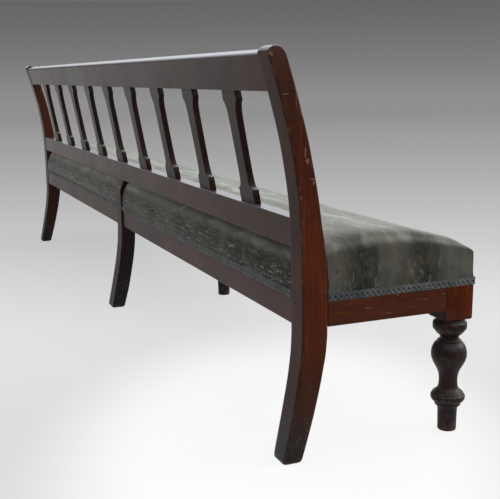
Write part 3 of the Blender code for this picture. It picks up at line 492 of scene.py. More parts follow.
@dataclass(frozen=True)
class TurnedMahogany(Finish):
    """The near-black old polish of the turned legs, rubbed on the rings and scuffed at the foot."""

    deep: Colour = (0.0035, 0.0024, 0.0022)
    red: Colour = (0.021, 0.0078, 0.0052)

    def paint(self, bench: MixingBench) -> None:
        """Dark polish with a lathe's fine lines, whose rings and foot are worn.

        Args:
            bench: the material's bench.
        """
        place = bench.place()
        cloudy = bench.noise(place, 20.0, 4.0, 0.6)
        fibre = bench.noise(bench.place((1.0, 1.0, 0.12)), 150.0, 4.0, 0.6)
        lathe = bench.noise(bench.place((0.05, 0.05, 1.0)), 420.0, 2.0)
        rubbed = bench.attribute("arris") * bench.noise(place, 60.0, 3.0).step(0.44, 0.64)
        ledge = bench.facing()[2].step(0.15, 0.7)
        scuff = bench.parts(place)[2].step(0.07, 0.0) * bench.noise(place, 85.0, 5.0, 0.70).step(0.46, 0.60)
        wood = bench.layers(
            self.deep,
            (cloudy.step(0.36, 0.68), self.red),
            (fibre.step(0.5, 0.75) * 0.35, tuple(level * 1.9 for level in self.red)),
            (rubbed * 0.55, (0.085, 0.056, 0.046)),
            # grey on the faces that face up: painted sheen
            (ledge * 0.6, (0.042, 0.034, 0.033)),
            (scuff * 0.6, (0.078, 0.066, 0.054)),
        )
        relief = lathe * 0.3 + fibre * 0.3 - rubbed * 0.5 - scuff * 0.6
        bench.finish(
            {"IOR": 1.45, "Specular IOR Level": 0.17, "Coat Roughness": 0.3, "Coat IOR": 1.3},
            {
                "Base Color": wood,
                "Roughness": 0.42 + cloudy * 0.14 + scuff * 0.2,
                "Coat Weight": (ledge * 0.5 + 0.06 - scuff * 0.1).most(0.0),
                "Normal": bench.bump(relief, 0.0005, 0.6),
            },
        )


@dataclass(frozen=True)
class Beech(Finish):
    """Sawn beech, unpolished, with fine flecks and a little dust."""

    grain: Grain

    def paint(self, bench: MixingBench) -> None:
        """Fibres, flecks and saw marks.

        Args:
            bench: the material's bench.
        """
        fibre = bench.noise(bench.place(self.grain.scale(0.09)), 90.0, 4.0, 0.6)
        flecks = bench.noise(bench.place(self.grain.scale(0.2)), 520.0, 1.0).step(0.60, 0.68)
        sawn = bench.noise(bench.place(self.grain.scale(1.01, 0.1)), 130.0, 2.0)
        wood = bench.layers(
            (0.20, 0.115, 0.058),
            (fibre, (0.40, 0.255, 0.145)),
            (flecks * 0.5, (0.15, 0.075, 0.035)),
            (bench.noise(bench.place(), 12.0, 4.0) * 0.5, (0.16, 0.125, 0.09)),
        )
        normal = bench.bump(sawn * 0.7 + fibre * 0.4, 0.0006, 0.6)
        bench.finish(
            {"Specular IOR Level": 0.35},
            {"Base Color": wood, "Roughness": 0.68 + fibre * 0.2, "Normal": normal},
        )


@dataclass(frozen=True)
class StripedVelvet(Finish):
    """Worn cut velvet: plain grey-green bands, and dark bands mottled like a warp print, along the seat.

    The mesh's own UV gives metres along the cloth and across it, and the dark bands repeat across it.
    """

    name: str = "striped_velvet"
    repeat: float = 0.155
    first_band: float = -0.145

    def paint(self, bench: MixingBench) -> None:
        """Bands with their mottling, then the stained and flecked back with a painted shadow under the rail
        and a painted sheen along it, then the worn top, lightened by painted sheen too.

        Args:
            bench: the material's bench.
        """
        along, across, _ = bench.parts(bench.result("ShaderNodeUVMap", {"uv_map": "cloth"}))
        place = bench.place()
        height = bench.parts(place)[2]
        _, facing_back, facing_up = bench.facing()
        rear = facing_back.step(0.25, 0.85)

        sway = bench.noise(bench.vector(along * 3.0, across, 0.0), 6.0, 3.0) - 0.5
        band = ((across - self.first_band + sway * 0.030) / self.repeat + 0.5).part() - 0.5
        dark = abs(band).step(0.33, 0.19)
        core = abs(band).step(0.20, 0.05)
        beside = band.step(0.10, 0.24) * band.step(0.50, 0.40)

        plain_tone = bench.weave(along * 4.0, across * 34.0, 1.0, 3.0)
        rib = bench.weave(along * 9.0, across * 190.0, 11.0, 4.0, 0.7)
        flame = bench.weave(along * 15.0, across * 62.0, 0.0, 4.0, 0.65, 1.4)
        block_place = bench.vector(along * 30.0, across * 30.0, 3.0)
        blocks = bench.noise(block_place, 1.0, 3.0, 0.6, 0.8)
        broken = bench.weave(along * 60.0, across * 260.0, 21.0, 3.0, 0.7)
        torn = blocks * 0.5 + broken * 0.5
        brown = core * bench.noise(block_place, 0.7, 2.0).step(0.54, 0.66)
        smudge = bench.noise(place, 26.0, 4.0, 0.6)
        speck = bench.weave(along * 70.0, across * 95.0, 27.0, 4.0, 0.7)
        cloth = bench.layers(
            (0.042, 0.045, 0.038),
            (plain_tone.step(0.3, 0.7), (0.092, 0.092, 0.078)),
            (rib.step(0.45, 0.75) * 0.35, (0.034, 0.035, 0.029)),
            (dark * (flame * 0.9 + 0.35), (0.024, 0.027, 0.022)),
            (core * torn.step(0.41, 0.60) * 0.85, (0.0075, 0.0082, 0.0066)),
            (brown * 0.55, (0.048, 0.031, 0.020)),
            (smudge.step(0.50, 0.72) * 0.40, (0.026, 0.028, 0.023)),
            (smudge.step(0.46, 0.28) * (0.35 - rear * 0.20), (0.125, 0.126, 0.108)),
            (beside * speck.step(0.40, 0.62) * 0.55, (0.062, 0.044, 0.031)),
            (beside * speck.step(0.58, 0.68) * 0.50, (0.018, 0.016, 0.012)),
            (broken.step(0.52, 0.68) * 0.30, (0.022, 0.024, 0.019)),
        )

        # under_rail: painted shadow high on the back, under the lower back rail, strongest at the left end
        under_rail = facing_back.step(0.10, 0.50) * height.step(0.432, 0.456) * along.step(0.6, -0.9)
        blot = bench.weave(along * 11.0, height * 60.0, 23.0, 6.0, 0.74, 0.9)
        blot = blot.step(0.47, 0.55) * rear * height.step(0.376, 0.390) * height.step(0.450, 0.424)
        stroke = bench.weave(along * 32.0, across * 92.0, 7.0, 5.0, 0.74, 1.0)
        low = height.step(0.47, 0.40) * 0.8 + 0.2
        fleck = dark * stroke.step(0.53, 0.63) * blocks.step(0.36, 0.52) * low
        strewn = bench.weave(along * 20.0, height * 140.0, 17.0, 6.0, 0.76, 0.9)
        strewn = strewn.step(0.55, 0.63) * rear * height.step(0.426, 0.402)
        mottle = bench.noise(place, 9.0, 5.0, 0.65)
        cloth = bench.layers(
            cloth,
            (rear * core * 0.40, (0.0120, 0.0135, 0.0110)),
            # painted sheen on the back: darker towards the left end, paler towards the right end
            (rear * along.step(0.5, -1.3) * 0.42, (0.0150, 0.0165, 0.0135)),
            (rear * along.step(-0.9, 0.8) * 0.34, (0.160, 0.162, 0.145)),
            # painted shadow under the lower back rail
            (under_rail * 0.60, (0.0110, 0.0120, 0.0100)),
            (blot * 0.84, (0.0050, 0.0056, 0.0046)),
            (fleck * 0.60, (0.170, 0.156, 0.118)),
            (strewn * 0.75, (0.310, 0.316, 0.272)),
            (mottle.step(0.45, 0.68) * 0.50, (0.088, 0.070, 0.048)),
        )

        rub = bench.noise(place, 7.0, 4.0, 0.6)
        fresh_end = abs(along).step(1.36, 1.50) * 0.7
        # worn: the top is paler where the pile is worn, and paler still as a painted sheen
        worn = facing_up.step(0.20, 1.0) * (1.0 - fresh_end) * (1.0 - dark * 0.35) * (1.0 - under_rail * 0.8)
        bald = bench.weave(along * 8.0, across * 34.0, 9.0, 5.0, 0.68, 0.6)
        crushed = bench.weave(along * 8.0, across * 38.0, 15.0, 5.0, 0.66, 0.6)
        cloth = bench.layers(
            cloth,
            # worn top, lightened partly by painted sheen
            (worn * (0.55 + rub * 0.45), (0.320, 0.324, 0.292)),
            (worn * bald.step(0.46, 0.66) * 0.70, (0.560, 0.566, 0.500)),
            (worn * crushed.step(0.52, 0.70) * 0.60, (0.075, 0.080, 0.068)),
        )

        pile = bench.noise(place, 900.0, 2.0, 0.6)
        nap = bench.noise(place, 160.0, 3.0, 0.6)
        weft = bench.weave(along * 300.0, across * 24.0, 5.0, 2.0)
        hollow = bald.step(0.5, 0.8) * worn * 0.4
        relief = pile * 0.35 + nap * 0.5 + weft * 0.15 + rib * 0.2 - core * 0.3 - hollow
        tint = (0.82, 0.88, 0.82, 1.0)
        bench.finish(
            {"Specular IOR Level": 0.10, "Sheen Weight": 0.44, "Sheen Roughness": 0.34, "Sheen Tint": tint},
            {"Base Color": cloth, "Roughness": 0.78 + nap * 0.2, "Normal": bench.bump(relief, 0.0009, 0.7)},
        )


@dataclass(frozen=True)
class BraidThread(Finish):
    """The gimp's cords or backing: twisted thread, faded and dusty."""

    light: Colour
    deep: Colour
    twist: float = 620.0

    def paint(self, bench: MixingBench) -> None:
        """Strands as the sine of the place along one slanted line, faded in patches.

        Args:
            bench: the material's bench.
        """
        place = bench.place()
        x, y, z = bench.parts(place)
        strands = ((x + y + z * 0.9) * self.twist).sine() * 0.5 + 0.5
        fade = bench.noise(place, 18.0, 4.0, 0.6)
        fluff = bench.noise(place, 700.0, 2.0)
        thread = bench.layers(
            self.deep,
            (fade.step(0.3, 0.7) * 0.7 + strands * 0.3, self.light),
            # paler where the thread faces back, in patches: painted sheen
            (bench.facing()[1].step(0.3, 0.8) * fade * 0.5, (0.165, 0.172, 0.165)),
        )
        normal = bench.bump(strands * 0.6 + fluff * 0.4, 0.0005, 0.7)
        bench.finish(
            {"Specular IOR Level": 0.15, "Sheen Weight": 0.30, "Sheen Roughness": 0.4},
            {"Base Color": thread, "Roughness": 0.72 + fluff * 0.2, "Normal": normal},
        )


@dataclass(frozen=True)
class Jute(Finish):
    """Plain-woven jute: threads over and under each other, with slubs and dust."""

    pitch: float
    light: Colour
    deep: Colour

    def paint(self, bench: MixingBench) -> None:
        """A thread's height is the sine across it, and the two sets of threads alternate.

        Args:
            bench: the material's bench.
        """
        place = bench.place()
        x, y, _ = bench.parts(place)
        slub = bench.noise(place, 70.0, 3.0) * 0.8
        turns = 2.0 * math.pi / self.pitch
        weave = (x * turns + slub).sine() * (y * turns + slub).sine() * 0.5 + 0.5
        dust = bench.noise(place, 16.0, 4.0, 0.6)
        thread = bench.layers(
            self.deep,
            (weave.step(0.15, 0.85), self.light),
            (dust * 0.5, (0.11, 0.09, 0.065)),
        )
        normal = bench.bump(weave + slub * 0.3, 0.0006, 0.8)
        bench.finish(
            {"Specular IOR Level": 0.1, "Sheen Weight": 0.15},
            {"Base Color": thread, "Roughness": 0.85 + dust * 0.1, "Normal": normal},
        )


@dataclass(frozen=True)
class Horsehair(Finish):
    """Curled black hair, matted."""

    name: str = "curled_hair"

    def paint(self, bench: MixingBench) -> None:
        """Warped noise for the curls.

        Args:
            bench: the material's bench.
        """
        curls = bench.noise(bench.place(), 120.0, 5.0, 0.7, 3.0)
        hair = bench.mix(curls.step(0.35, 0.65), (0.010, 0.008, 0.007), (0.080, 0.058, 0.044))
        bench.finish(
            {"Specular IOR Level": 0.25},
            {"Base Color": hair, "Roughness": 0.7 + curls * 0.2, "Normal": bench.bump(curls, 0.002, 0.9)},
        )


@dataclass(frozen=True)
class ScrewSteel(Finish):
    """Dull old steel with brown spots."""

    name: str = "old_screw_steel"

    def paint(self, bench: MixingBench) -> None:
        """Rust spots on grey steel.

        Args:
            bench: the material's bench.
        """
        rust = bench.noise(bench.place(), 420.0, 4.0, 0.65).step(0.48, 0.62)
        varying = {
            "Base Color": bench.mix(rust * 0.8, (0.27, 0.26, 0.25), (0.105, 0.045, 0.022)),
            "Metallic": 1.0 - rust * 0.85,
            "Roughness": 0.40 + rust * 0.4,
            "Normal": bench.bump(rust, 0.0002, 0.5),
        }
        bench.finish({}, varying)


# Meshes


def smooth_value(rows: Sequence[Sequence[float]], column: int, places: Array | float) -> Array:
    """A column of the rows at places in their first column.

    The curve is a cubic between rows whose slope at a row is the weighted harmonic mean of its neighbours'
    rises, and 0 at a peak, so that it never overshoots.

    Args:
        rows: rows of place and values, in order.
        column: the value to read.
        places: where to read it.

    Returns:
        The values.
    """
    table = np.array(rows, float)
    xs, ys = table[:, 0], table[:, column]
    steps = np.diff(xs)
    rises = np.diff(ys) / steps
    slopes = np.zeros(len(xs))
    before = 2 * steps[1:] + steps[:-1]
    after = steps[1:] + 2 * steps[:-1]
    with np.errstate(divide="ignore", invalid="ignore"):
        mean = (before + after) / (before / rises[:-1] + after / rises[1:])
    slopes[1:-1] = np.where(rises[:-1] * rises[1:] > 0, mean, 0.0)
    slopes[0], slopes[-1] = rises[0], rises[-1]
    index = np.clip(np.searchsorted(xs, places, "right") - 1, 0, len(steps) - 1)
    t = np.clip((places - xs[index]) / steps[index], 0.0, 1.0)
    start = (1 + 2 * t) * (1 - t) ** 2 * ys[index] + t * (1 - t) ** 2 * steps[index] * slopes[index]
    end = t**2 * (3 - 2 * t) * ys[index + 1] + t**2 * (t - 1) * steps[index] * slopes[index + 1]
    return start + end


def smoothstep(values: Array) -> Array:
    """3t^2 - 2t^3, with t held between 0 and 1."""
    t = np.clip(values, 0.0, 1.0)
    return t * t * (3.0 - 2.0 * t)


def columns(*parts: ArrayLike) -> Array:
    """Values side by side, as rows of points."""
    return np.stack(np.broadcast_arrays(*parts), axis=-1)


def unit(vectors: Array) -> Array:
    """Vectors cut or stretched to a length of 1."""
    return vectors / np.linalg.norm(vectors, axis=-1, keepdims=True)


def piece(
    name: str,
    points: Array,
    faces: Sequence[Sequence[int]] | Array,
    marks: Mapping[str, Array] | None = None,
    cloth: Array | None = None,
    weld: float = WELD,
    crease: float | None = CREASE,
) -> bpy.types.Object:
    """An object from points and faces, welded, with its faces pointing out.

    Args:
        name: the object's name.
        points: its vertices, in the bench's frame.
        faces: rows of vertex numbers.
        marks: numbers that each vertex carries, by attribute name.
        cloth: each vertex's place on the cloth, for the UV of that name.
        weld: how near two vertices are joined.
        crease: the angle over which an edge shades sharp.

    Returns:
        The object, at the origin.
    """
    mesh = bpy.data.meshes.new(name)
    mesh.from_pydata(points.reshape(-1, 3).tolist(), [], [list(map(int, face)) for face in faces])
    if cloth is not None:
        corners = np.zeros(len(mesh.loops), np.int32)
        mesh.loops.foreach_get("vertex_index", corners)
        layer = mesh.uv_layers.new(name="cloth")
        layer.data.foreach_set("uv", cloth[corners].astype(np.float32).ravel())
    for label, values in (marks or {}).items():
        mark = mesh.attributes.new(label, "FLOAT", "POINT")
        mark.data.foreach_set("value", values.astype(np.float32).ravel())
    work = bmesh.new()
    work.from_mesh(mesh)
    bmesh.ops.remove_doubles(work, verts=work.verts, dist=weld)
    bmesh.ops.recalc_face_normals(work, faces=work.faces)
    work.to_mesh(mesh)
    work.free()
    mesh.shade_smooth()
    if crease is not None:
        mesh.set_sharp_from_angle(angle=crease)
    made = bpy.data.objects.new(name, mesh)
    bpy.context.scene.collection.objects.link(made)
    return made


def skin(count: int, around: int, start: int = 0) -> list[list[int]]:
    """The faces of a closed skin: quads between rings of points, and a flat face over each end.

    Args:
        count: how many rings there are.
        around: how many points each ring has.
        start: the number of the first point.

    Returns:
        Lists of point numbers.
    """
    ring, place = np.meshgrid(np.arange(count - 1), np.arange(around), indexing="ij")
    here = start + ring * around + place
    beside = start + ring * around + (place + 1) % around
    quads = columns(here, beside, beside + around, here + around).reshape(-1, 4)
    last = start + (count - 1) * around
    return quads.tolist() + [list(range(start, start + around))[::-1], list(range(last, last + around))]


def lofted(name: str, rings: Array, arris: Array | None = None) -> bpy.types.Object:
    """A closed skin through rings of points.

    Args:
        name: the object's name.
        rings: points by ring, place round the ring, and axis.
        arris: the arris marks by ring and place.

    Returns:
        The object.
    """
    marks = {} if arris is None else {"arris": arris}
    return piece(name, rings, skin(*rings.shape[:2]), marks)


def rounded_box_section(corner_steps: int = 4, flat: float = 1.6) -> tuple[Array, Array, Array]:
    """The unit parts of a rounded rectangle: each point is signs * (half - radius) + arc * radius.

    Each corner's arc runs over a quarter turn, and a point on each flat beside it keeps the arris narrow.

    Args:
        corner_steps: faces round each corner.
        flat: how many radii the points on the flats are from the arc's ends.

    Returns:
        The signs, the arcs, and the arris mark, by point round the section.
    """
    signs, arcs, arris = [], [], []
    for corner, sign in enumerate(((1, 1), (-1, 1), (-1, -1), (1, -1))):
        angles = corner * math.pi / 2 + np.linspace(0.0, math.pi / 2, corner_steps + 1)
        arc = columns(np.cos(angles), np.sin(angles))
        arcs.extend([arc[0] - flat * arc[-1], *arc, arc[-1] - flat * arc[0]])
        signs.extend([sign] * (corner_steps + 3))
        arris.extend([0.0] + [1.0] * (corner_steps + 1) + [0.0])
    return np.array(signs, float), np.array(arcs), np.array(arris)


def box_rings(
    centres: Array, halves: Array, radius: ArrayLike, first: Array = RIGHT, second: Array = BACKWARD
) -> tuple[Array, Array]:
    """Rounded rectangles in a row. A corner takes up CORNER_SHARE of the smaller half size at most.

    Args:
        centres: each ring's middle.
        halves: each ring's half sizes along the two axes.
        radius: the corners' radius, for all rings or by ring.
        first: the first axis.
        second: the second axis.

    Returns:
        The rings, and their arris marks.
    """
    signs, arcs, arris = rounded_box_section()
    radius = np.minimum(radius, halves.min(axis=1) * CORNER_SHARE)[:, None, None]
    flat = signs * (halves[:, None] - radius) + arcs * radius
    rings = centres[:, None] + flat[..., :1] * first + flat[..., 1:] * second
    return rings, np.broadcast_to(arris, rings.shape[:2])


def points_of(made: bpy.types.Object) -> Array:
    """An object's vertices as rows of x, y and z."""
    places = np.zeros(len(made.data.vertices) * 3, np.float32)
    made.data.vertices.foreach_get("co", places)
    return places.reshape(-1, 3).astype(float)


def modified(made: bpy.types.Object, kind: str, **settings: object) -> None:
    """Puts the shape that one modifier gives in the object's own mesh.

    Args:
        made: the object.
        kind: the modifier's type.
        settings: its properties.
    """
    modifier = made.modifiers.new(kind.lower(), kind)
    for name, value in settings.items():
        setattr(modifier, name, value)
    graph = bpy.context.evaluated_depsgraph_get()
    graph.update()
    shaped = made.evaluated_get(graph)
    mesh = bpy.data.meshes.new_from_object(shaped, preserve_all_data_layers=True, depsgraph=graph)
    made.modifiers.clear()
    made.data = mesh


def dress(made: bpy.types.Object, material: bpy.types.Material, slot: str, *nodes: str) -> None:
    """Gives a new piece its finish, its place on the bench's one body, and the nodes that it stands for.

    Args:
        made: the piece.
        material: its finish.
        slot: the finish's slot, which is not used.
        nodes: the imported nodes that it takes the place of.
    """
    made.data.materials.clear()
    made.data.materials.append(material)
    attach(made, "root")
    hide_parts(*nodes)
    LOG.info("%s: %d faces", made.name, len(made.data.polygons))


def polished(node: str, shape: tuple[Array, Array], wood: bpy.types.Material) -> None:
    """Puts a loft of show wood in the place of one node.

    Args:
        node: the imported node's name.
        shape: the rings and their arris marks.
        wood: the finish.
    """
    dress(lofted(f"{node}_dressed", *shape), wood, "polished_mahogany", node)


def refinish(material: bpy.types.Material, *nodes: str) -> None:
    """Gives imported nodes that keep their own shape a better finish.

    Args:
        material: the finish.
        nodes: the nodes' names.
    """
    for name in nodes:
        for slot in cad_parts[name].material_slots:
            slot.material = material
        LOG.info("%s: refinished", name)


# Sub-assemblies


@dataclass(frozen=True)
class Datum:
    """The sizes that the sub-assemblies share. Their y = 0 is the back of the stiles at the seat joint."""

    half_length: float = 1.5
    stile_width: float = 0.058
    stile_depth: float = 0.060
    middle_width: float = 0.060
    middle_proud: float = 0.004
    seat_depth: float = 0.434
    clearance: float = 0.0003

    @property
    def back(self) -> float:
        """The frame's Y at the back of the stiles at the seat joint, read from the side gimp's end."""
        return float(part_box("side_gimp_left")[1].y) + self.stile_depth + self.clearance


@dataclass(frozen=True)
class BackTemplate:
    """The curve that the stiles and the middle leg are sawn to.

    Its rows give a share of the shoulder's height, a share of the rake and a share of the depth.
    """

    shoulder: float = 0.877
    rake: float = 0.0765
    depth: float = 0.060
    middle_depth: float = 0.050
    rows: tuple[tuple[float, float, float], ...] = (
        (0.0, 0.603, 0.758),
        (0.135, 0.278, 0.877),
        (0.225, 0.095, 0.935),
        (0.285, 0.020, 0.985),
        (0.330, 0.0, 1.0),
        (0.435, 0.0, 1.0),
        (0.507, 0.008, 0.955),
        (0.620, 0.058, 0.788),
        (0.766, 0.289, 0.702),
        (0.900, 0.658, 0.672),
        (1.0, 1.0, 0.667),
    )

    def _read(self, column: int, height: Array | float) -> Array:
        """A column of the rows at a height."""
        return smooth_value(self.rows, column, np.asarray(height, float) / self.shoulder)

    def rear(self, height: Array | float) -> Array:
        """How far the back edge is behind the seat joint at a height."""
        return self.rake * self._read(1, height)

    def front(self, height: Array | float) -> Array:
        """The place of the front edge at a height."""
        return self.rear(height) - self.depth * self._read(2, height)

    def middle_front(self, height: Array | float) -> Array:
        """The middle leg's front edge, which is planed back where the template is deeper."""
        return np.maximum(self.front(height), self.rear(height) - self.middle_depth)


@dataclass
class BackFrame:
    """The stiles, the middle rear leg, the crest rail, the lower back rail and the spindles.

    The foot has rows of height and how far it is worn back, and the easing has rows of height and radius.
    """

    datum: Datum
    template: BackTemplate = field(default_factory=BackTemplate)
    easing: tuple[tuple[float, float], ...] = ((0.0, 0.0070), (0.030, 0.0048), (0.100, 0.0032))
    foot: tuple[tuple[float, float], ...] = (
        (0.0, 0.0056), (0.0010, 0.0032), (0.0030, 0.0013), (0.0065, 0.0002),
    )
    above_foot: float = 0.012
    stile_steps: int = 96
    cap_steps: int = 13
    cap_drop: float = 0.008
    cap_rise: float = 0.011
    cap_shrink: float = 0.0075
    cap_least: float = 0.0012
    cap_power: float = 0.8
    middle_easing: float = 0.0020
    middle_top: float = 0.4677
    chamfer_rise: float = 0.036
    chamfer_run: float = 0.014
    chamfer_start: float = 0.001
    leg_steps: int = 60
    chamfer_steps: int = 10
    chip_rise: float = 0.006
    chip_sink: float = 0.002
    chip_reach: tuple[float, float, float] = (0.030, 0.006, 0.008)
    inset: float = 0.0015
    rail_depth: float = 0.038
    rail_gap: float = 0.0002
    rail_stations: int = 13
    arc_points: int = 7
    arc_pull: float = 0.45
    flat_share: float = 0.8
    crest_low: float = 0.796
    crest_high: float = 0.8735
    crest_radii: tuple[float, ...] = (0.0016, 0.008, 0.008, 0.0016)
    lower_low: float = 0.46799
    lower_high: float = 0.53199
    lower_radii: tuple[float, ...] = (0.0018, 0.0018, 0.0018, 0.0018)
    spindle_count: int = 9
    spindle_width: float = 0.085
    spindle_thickness: float = 0.0165
    spindle_easing: float = 0.0017
    shaft_steps: int = 44

    def build(self) -> None:
        """Makes and dresses every piece of the back."""
        # The left stile's wood is the lit copy; the shaded copies below paint shade by being darker.
        bright = Mahogany("stile_mahogany", Grain.UPRIGHT, scratches=self.stile_scratches()).build()
        along = Mahogany("back_rail_mahogany", Grain.ALONG, scuffs=0.8, gloss=0.24).build()
        # The middle rear leg's wood is a darker copy: painted shade between the cushion and the lower back
        # rail.
        middle_leg_shade = {
            "dark": (0.0060, 0.0034, 0.0029),
            "red": (0.029, 0.0098, 0.0054),
            "amber": (0.070, 0.0220, 0.0080),
        }
        # The spindles' wood is darkened as painted shade on their sides, and their back faces get a grey
        # painted sheen.
        spindle_shade = {
            "dark": (0.0040, 0.0026, 0.0023),
            "red": (0.0200, 0.0072, 0.0045),
            "amber": (0.0600, 0.0190, 0.0075),
            "back_face_shading": (0.0390, 0.0300, 0.0275),
            "dust": (0.100, 0.098, 0.110),
        }
        slim = Mahogany("spindle_shaded_mahogany", Grain.UPRIGHT, scuffs=0.7, **spindle_shade).build()
        chip_z = self.middle_top - self.chamfer_rise + self.chip_rise
        chip_y = self.edge(chip_z)[1] + self.inset + self.datum.middle_proud - self.chip_sink
        middle_leg_shade["scratches"] = (Scratch((0.0, chip_y, chip_z), self.chip_reach),)
        shaded_middle_leg_wood = Mahogany("middle_leg_shaded_mahogany", Grain.UPRIGHT, scuffs=0.7, **middle_leg_shade).build()
        # The right stile is a darker copy of the left stile's wood: painted shade on the far end.
        right_stile_shade = {"red": (0.060, 0.0130, 0.0042), "amber": (0.105, 0.0290, 0.0065)}
        shaded_right_stile_wood = Mahogany("right_stile_shaded_mahogany", Grain.UPRIGHT, **right_stile_shade).build()
        self.stile(Side.LEFT, bright)
        self.stile(Side.RIGHT, shaded_right_stile_wood)
        self.middle_leg(shaded_middle_leg_wood)
        _, forward = self.crest_axes()
        self.rail("crest_rail", (self.crest_low, self.crest_high), forward, self.crest_radii, along)
        self.rail("lower_back_rail", (self.lower_low, self.lower_high), -BACKWARD, self.lower_radii, along)
        self.spindles(slim)

    def stile_scratches(self) -> tuple[Scratch, ...]:
        """Old knocks on the outer face of the left stile and on its back edge.

        Returns:
            The scratches, from rows of their places and half sizes along Y and Z.
        """
        back = self.datum.back
        rows = (
            (0.0392, 0.7918, 0.0110, 0.0012),
            (-0.0060, 0.6740, 0.0022, 0.0130),
            (-0.0110, 0.6560, 0.0060, 0.0070),
            (-0.0224, 0.6185, 0.0100, 0.0022),
            (-0.0250, 0.6110, 0.0040, 0.0060),
            (0.0030, 0.5820, 0.0035, 0.0040),
            (-0.0446, 0.5168, 0.0070, 0.0012),
            (-0.0115, 0.0720, 0.0016, 0.0060),
            (0.0700, 0.8700, 0.0050, 0.0060),
        )
        return tuple(
            Scratch((-self.datum.half_length, back + y, z), (MARK_DEPTH, reach_y, reach_z))
            for y, z, reach_y, reach_z in rows
        )

    def upright(
        self,
        node: str,
        centres: Array,
        halves: Array,
        rounding: ArrayLike,
        wood: bpy.types.Material,
    ) -> None:
        """A sawn post: rounded rectangles in a row, drawn in at the worn foot.

        Args:
            node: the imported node's name.
            centres: the middles of its sections, from the datum.
            halves: their half sizes.
            rounding: their corners' radii.
            wood: its finish.
        """
        worn = np.interp(centres[:, 2], *zip(*self.foot), right=0.0)
        placed = centres + BACKWARD * self.datum.back
        polished(node, box_rings(placed, halves - worn[:, None], rounding), wood)

    def stile(self, side: Side, wood: bpy.types.Material) -> None:
        """A stile: a rounded rectangle carried up the template, closing in an arc at the top.

        The cap's heights go by the sine of the arc's angle and its depth by the cosine.

        Args:
            side: the bench's end that it stands at.
            wood: its finish.
        """
        angles = np.linspace(0.0, math.pi / 2, self.cap_steps + 1)[1:]
        cap_start = self.template.shoulder - self.cap_drop
        cap = cap_start + (self.cap_drop + self.cap_rise) * np.sin(angles)
        foot_heights, _ = zip(*self.foot)
        shaft = np.linspace(self.above_foot, cap_start, self.stile_steps)
        heights = np.concatenate((foot_heights, shaft, cap))
        closing = np.ones(len(heights))
        closing[-self.cap_steps :] = np.cos(angles)
        level = np.minimum(heights, self.template.shoulder)
        rear, front = self.template.rear(level), self.template.front(level)
        deep = np.maximum((rear - front) / 2 * closing, self.cap_least)
        wide = self.datum.stile_width / 2 - self.cap_shrink * (1.0 - closing) ** self.cap_power
        x = side.value * (self.datum.half_length - self.datum.stile_width / 2)
        rounding = np.interp(heights, *zip(*self.easing))
        centres = columns(x, (rear + front) / 2, heights)
        self.upright(f"{side.word}_stile", centres, columns(wide, deep), rounding, wood)

    def middle_leg(self, wood: bpy.types.Material) -> None:
        """The middle rear leg: a stile's lower half, slanted off at the back under the lower rail.

        Args:
            wood: its finish.
        """
        slant = self.middle_top - self.chamfer_rise
        lower = np.linspace(self.above_foot, slant, self.leg_steps)
        upper = np.linspace(slant + self.chamfer_start, self.middle_top, self.chamfer_steps)
        foot_heights, _ = zip(*self.foot)
        heights = np.concatenate((foot_heights, lower, upper))
        rear, front = self.template.rear(heights), self.template.middle_front(heights)
        over = np.clip((heights - slant) / self.chamfer_rise, 0.0, 1.0)
        rear = np.where(heights > slant, self.template.rear(slant) - self.chamfer_run * over, rear)
        centres = columns(0.0, (rear + front) / 2 + self.datum.middle_proud, heights)
        halves = columns(self.datum.middle_width / 2, (rear - front) / 2)
        self.upright("middle_rear_leg", centres, halves, self.middle_easing, wood)

    def edge(self, height: float) -> Array:
        """The point of the back rails' rear faces at a height, halfway along the bench."""
        return np.array((0.0, float(self.template.rear(height)) - self.inset + self.datum.back, height))

    def crest_axes(self) -> tuple[Array, Array]:
        """The directions up the crest rail's rear face and forward out of its front."""
        slope = unit(self.edge(self.crest_high) - self.edge(self.crest_low))
        return slope, np.array((0.0, -slope[2], slope[1]))

    def rail(
        self,
        node: str,
        span: tuple[float, float],
        forward: Array,
        radii: Sequence[float],
        wood: bpy.types.Material,
    ) -> None:
        """A rail between the stiles, its rear face along the template.

        Each corner's arc is a cubic Bezier whose middle points lie a share of the radius from the corner. A
        point past each end of the arc keeps the arris narrow.

        Args:
            node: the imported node's name.
            span: the heights of its rear face's edges.
            forward: the way from its rear face to its front.
            radii: its corners' radii, from the low edge at the back.
            wood: its finish.
        """
        low, high = (self.edge(height) for height in span)
        deep = forward * self.rail_depth
        corners = (low, high, high + deep, low + deep)
        t = np.linspace(0.0, 1.0, self.arc_points)[:, None]
        section, arris = [], []
        for index, (corner, radius) in enumerate(zip(corners, radii)):
            before = unit(corners[index - 1] - corner) * radius
            after = unit(corners[(index + 1) % len(corners)] - corner) * radius
            start, end = corner + before, corner + after
            middle = 3 * t * (1 - t) * (corner + (before * (1 - t) + after * t) * self.arc_pull)
            arc = (1 - t) ** 3 * start + middle + t**3 * end
            section.extend([start + before * self.flat_share, *arc, end + after * self.flat_share])
            arris.extend([0.0] + [1.0] * len(arc) + [0.0])
        ends = self.datum.half_length - self.datum.stile_width - self.rail_gap
        stations = np.linspace(-ends, ends, self.rail_stations)
        rings = np.array(section) + stations[:, None, None] * RIGHT
        polished(node, (rings, np.broadcast_to(np.array(arris), rings.shape[:2])), wood)

